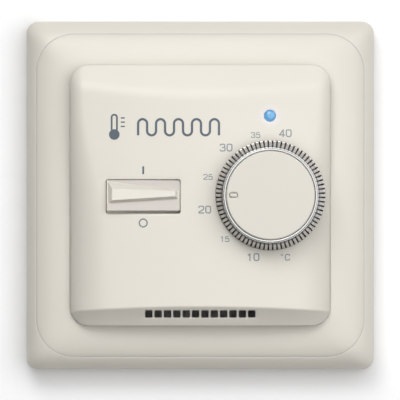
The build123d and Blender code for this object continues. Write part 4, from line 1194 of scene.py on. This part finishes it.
# pictogram: a thermometer and a floor-heating coil
MARK_X = -20.2
MARK_Z = 16.0
stem = rounded_square(0.62, 2.0, 0.61, 8, 4, (MARK_X, MARK_Z + 0.95))
inlay("pictogram_stem", *stroke(stem, 0.42, True), print_ink)
filled("pictogram_bulb", circle_path((MARK_X, MARK_Z - 1.7), 1.25), print_ink)
for index in range(3):
    tick = rounded_square(0.5, 0.16, 0.15, 4, 1, (MARK_X + 2.0, MARK_Z + 0.2 + 1.0 * index))
    filled(f"pictogram_tick_{index + 1}", tick, print_ink)


def coil_path(left, right, low, high, turns):
    """A meander with round bends."""
    pitch = (right - left) / turns
    radius = pitch / 2
    path = [(left, low)]
    for turn in range(turns):
        x = left + turn * pitch
        up = turn % 2 == 0
        end = high - radius if up else low + radius
        begin = (low + radius if up else high - radius) if turn else low
        path += [(x, begin), (x, end)] if turn else [(x, end)]
        for step in range(1, 12):
            angle = math.pi * step / 12
            x_bend = x + radius - radius * math.cos(angle)
            lift = radius * math.sin(angle)
            path.append((x_bend, end + lift if up else end - lift))
    last_up = turns % 2 == 0
    path.append((right, low + radius if last_up else high - radius))
    path.append((right, high if last_up else low))
    return path


coil = coil_path(-14.6, 4.4, MARK_Z - 1.9, MARK_Z + 1.9, 9)
inlay("pictogram_coil", *stroke(coil, 0.55), print_ink)


# ---- stage: a white wall with a hole for the housing, lit mainly from the front ----
def stage_material():
    """White wall paint, clear when it is seen from behind."""
    material, tree, shader = node_material("white_wall")
    patch = noise(tree, object_place(tree), 20.0)
    tint = colour_ramp(tree, patch, (0.915, 0.915, 0.915), (0.93, 0.93, 0.93))
    feed(tree, shader, Base_Color=tint, Roughness=0.9, Specular_IOR_Level=0.1)
    feed(tree, shader, Emission_Color=(1.0, 1.0, 1.0, 1.0), Emission_Strength=0.02)
    clear = add_node(tree, "ShaderNodeBsdfTransparent").outputs["BSDF"]
    behind = add_node(tree, "ShaderNodeNewGeometry").outputs["Backfacing"]
    mix = add_node(tree, "ShaderNodeMixShader", behind, shader.outputs["BSDF"], clear)
    feed(tree, tree.nodes["Material Output"], Surface=mix.outputs["Shader"])
    return material


WALL_HALF = 120.0
WALL_HOLE = 34.0
WALL_SINK = 0.05
square = [(-1, -1), (1, -1), (1, 1), (-1, 1)]
wall_points = [spot(x * half, -WALL_SINK, z * half) for half in (WALL_HALF, WALL_HOLE) for x, z in square]
wall = new_object("wall_panel", wall_points, [(i, (i + 1) % 4, 4 + (i + 1) % 4, 4 + i) for i in range(4)])
wall.data.materials.append(stage_material())


def area_light(name, azimuth, elevation, distance, size, power, disk=False):
    """A soft light that looks at the thermostat: degrees, metres and watts."""
    data = bpy.data.lights.new(name, "AREA")
    data.shape = "DISK" if disk else "SQUARE"
    data.size = size
    data.energy = power
    light = bpy.data.objects.new(name, data)
    a, e = math.radians(azimuth), math.radians(elevation)
    away = Vector((math.sin(a) * math.cos(e), -math.cos(a) * math.cos(e), math.sin(e)))
    light.location = away * distance
    light.rotation_mode = "QUATERNION"
    light.rotation_quaternion = away.to_track_quat("Z", "Y")
    bpy.context.scene.collection.objects.link(light)


area_light("key", -14, 34, 0.9, 0.4, 2.3)
area_light("softbox", 12, 8, 0.6, 0.84, 3.47, disk=True)

# the room's light: brightest above and to the right; the camera itself sees plain white paper
SKY_LEVEL = 0.22
SKY_SLOPE = (0.6, 0.0, 0.75)
world = bpy.data.worlds.new("studio")
world.use_nodes = True
bpy.context.scene.world = world
tree = world.node_tree
way = add_node(tree, "ShaderNodeTexCoord").outputs["Generated"]
slope = add_node(tree, "ShaderNodeVectorMath", way, SKY_SLOPE, operation="DOT_PRODUCT")
strength = ranged(tree, slope.outputs["Value"], 0.0, 2 * SKY_LEVEL, -1.0, 1.0)
feed(tree, tree.nodes["Background"], Color=(0.985, 0.99, 1.0, 1.0), Strength=strength)
sky = tree.nodes["Background"].outputs["Background"]
paper = add_node(tree, "ShaderNodeBackground", in_Color=(1.0, 1.0, 1.0, 1.0), in_Strength=1.0)
to_camera = add_node(tree, "ShaderNodeLightPath").outputs["Is Camera Ray"]
mix = add_node(tree, "ShaderNodeMixShader", to_camera, sky, paper.outputs["Background"])
feed(tree, tree.nodes["World Output"], Surface=mix.outputs["Shader"])

bpy.context.scene.view_settings.view_transform = "Standard"

# ---- camera: straight on ----
CAMERA_DISTANCE = 3.0
VIEW_WIDTH = 0.0944
SENSOR = 36.0
camera_data = bpy.data.cameras.new("camera")
camera_data.sensor_width = SENSOR
camera_data.lens = SENSOR * CAMERA_DISTANCE / VIEW_WIDTH
camera = bpy.data.objects.new("camera", camera_data)
bpy.context.scene.collection.objects.link(camera)
target = Vector((-0.00005, -0.008, -0.0011))
camera.location = target + Vector((0.0, -CAMERA_DISTANCE, 0.0))
camera.rotation_mode = "QUATERNION"
camera.rotation_quaternion = (camera.location - target).to_track_quat("Z", "Y")
bpy.context.scene.camera = camera
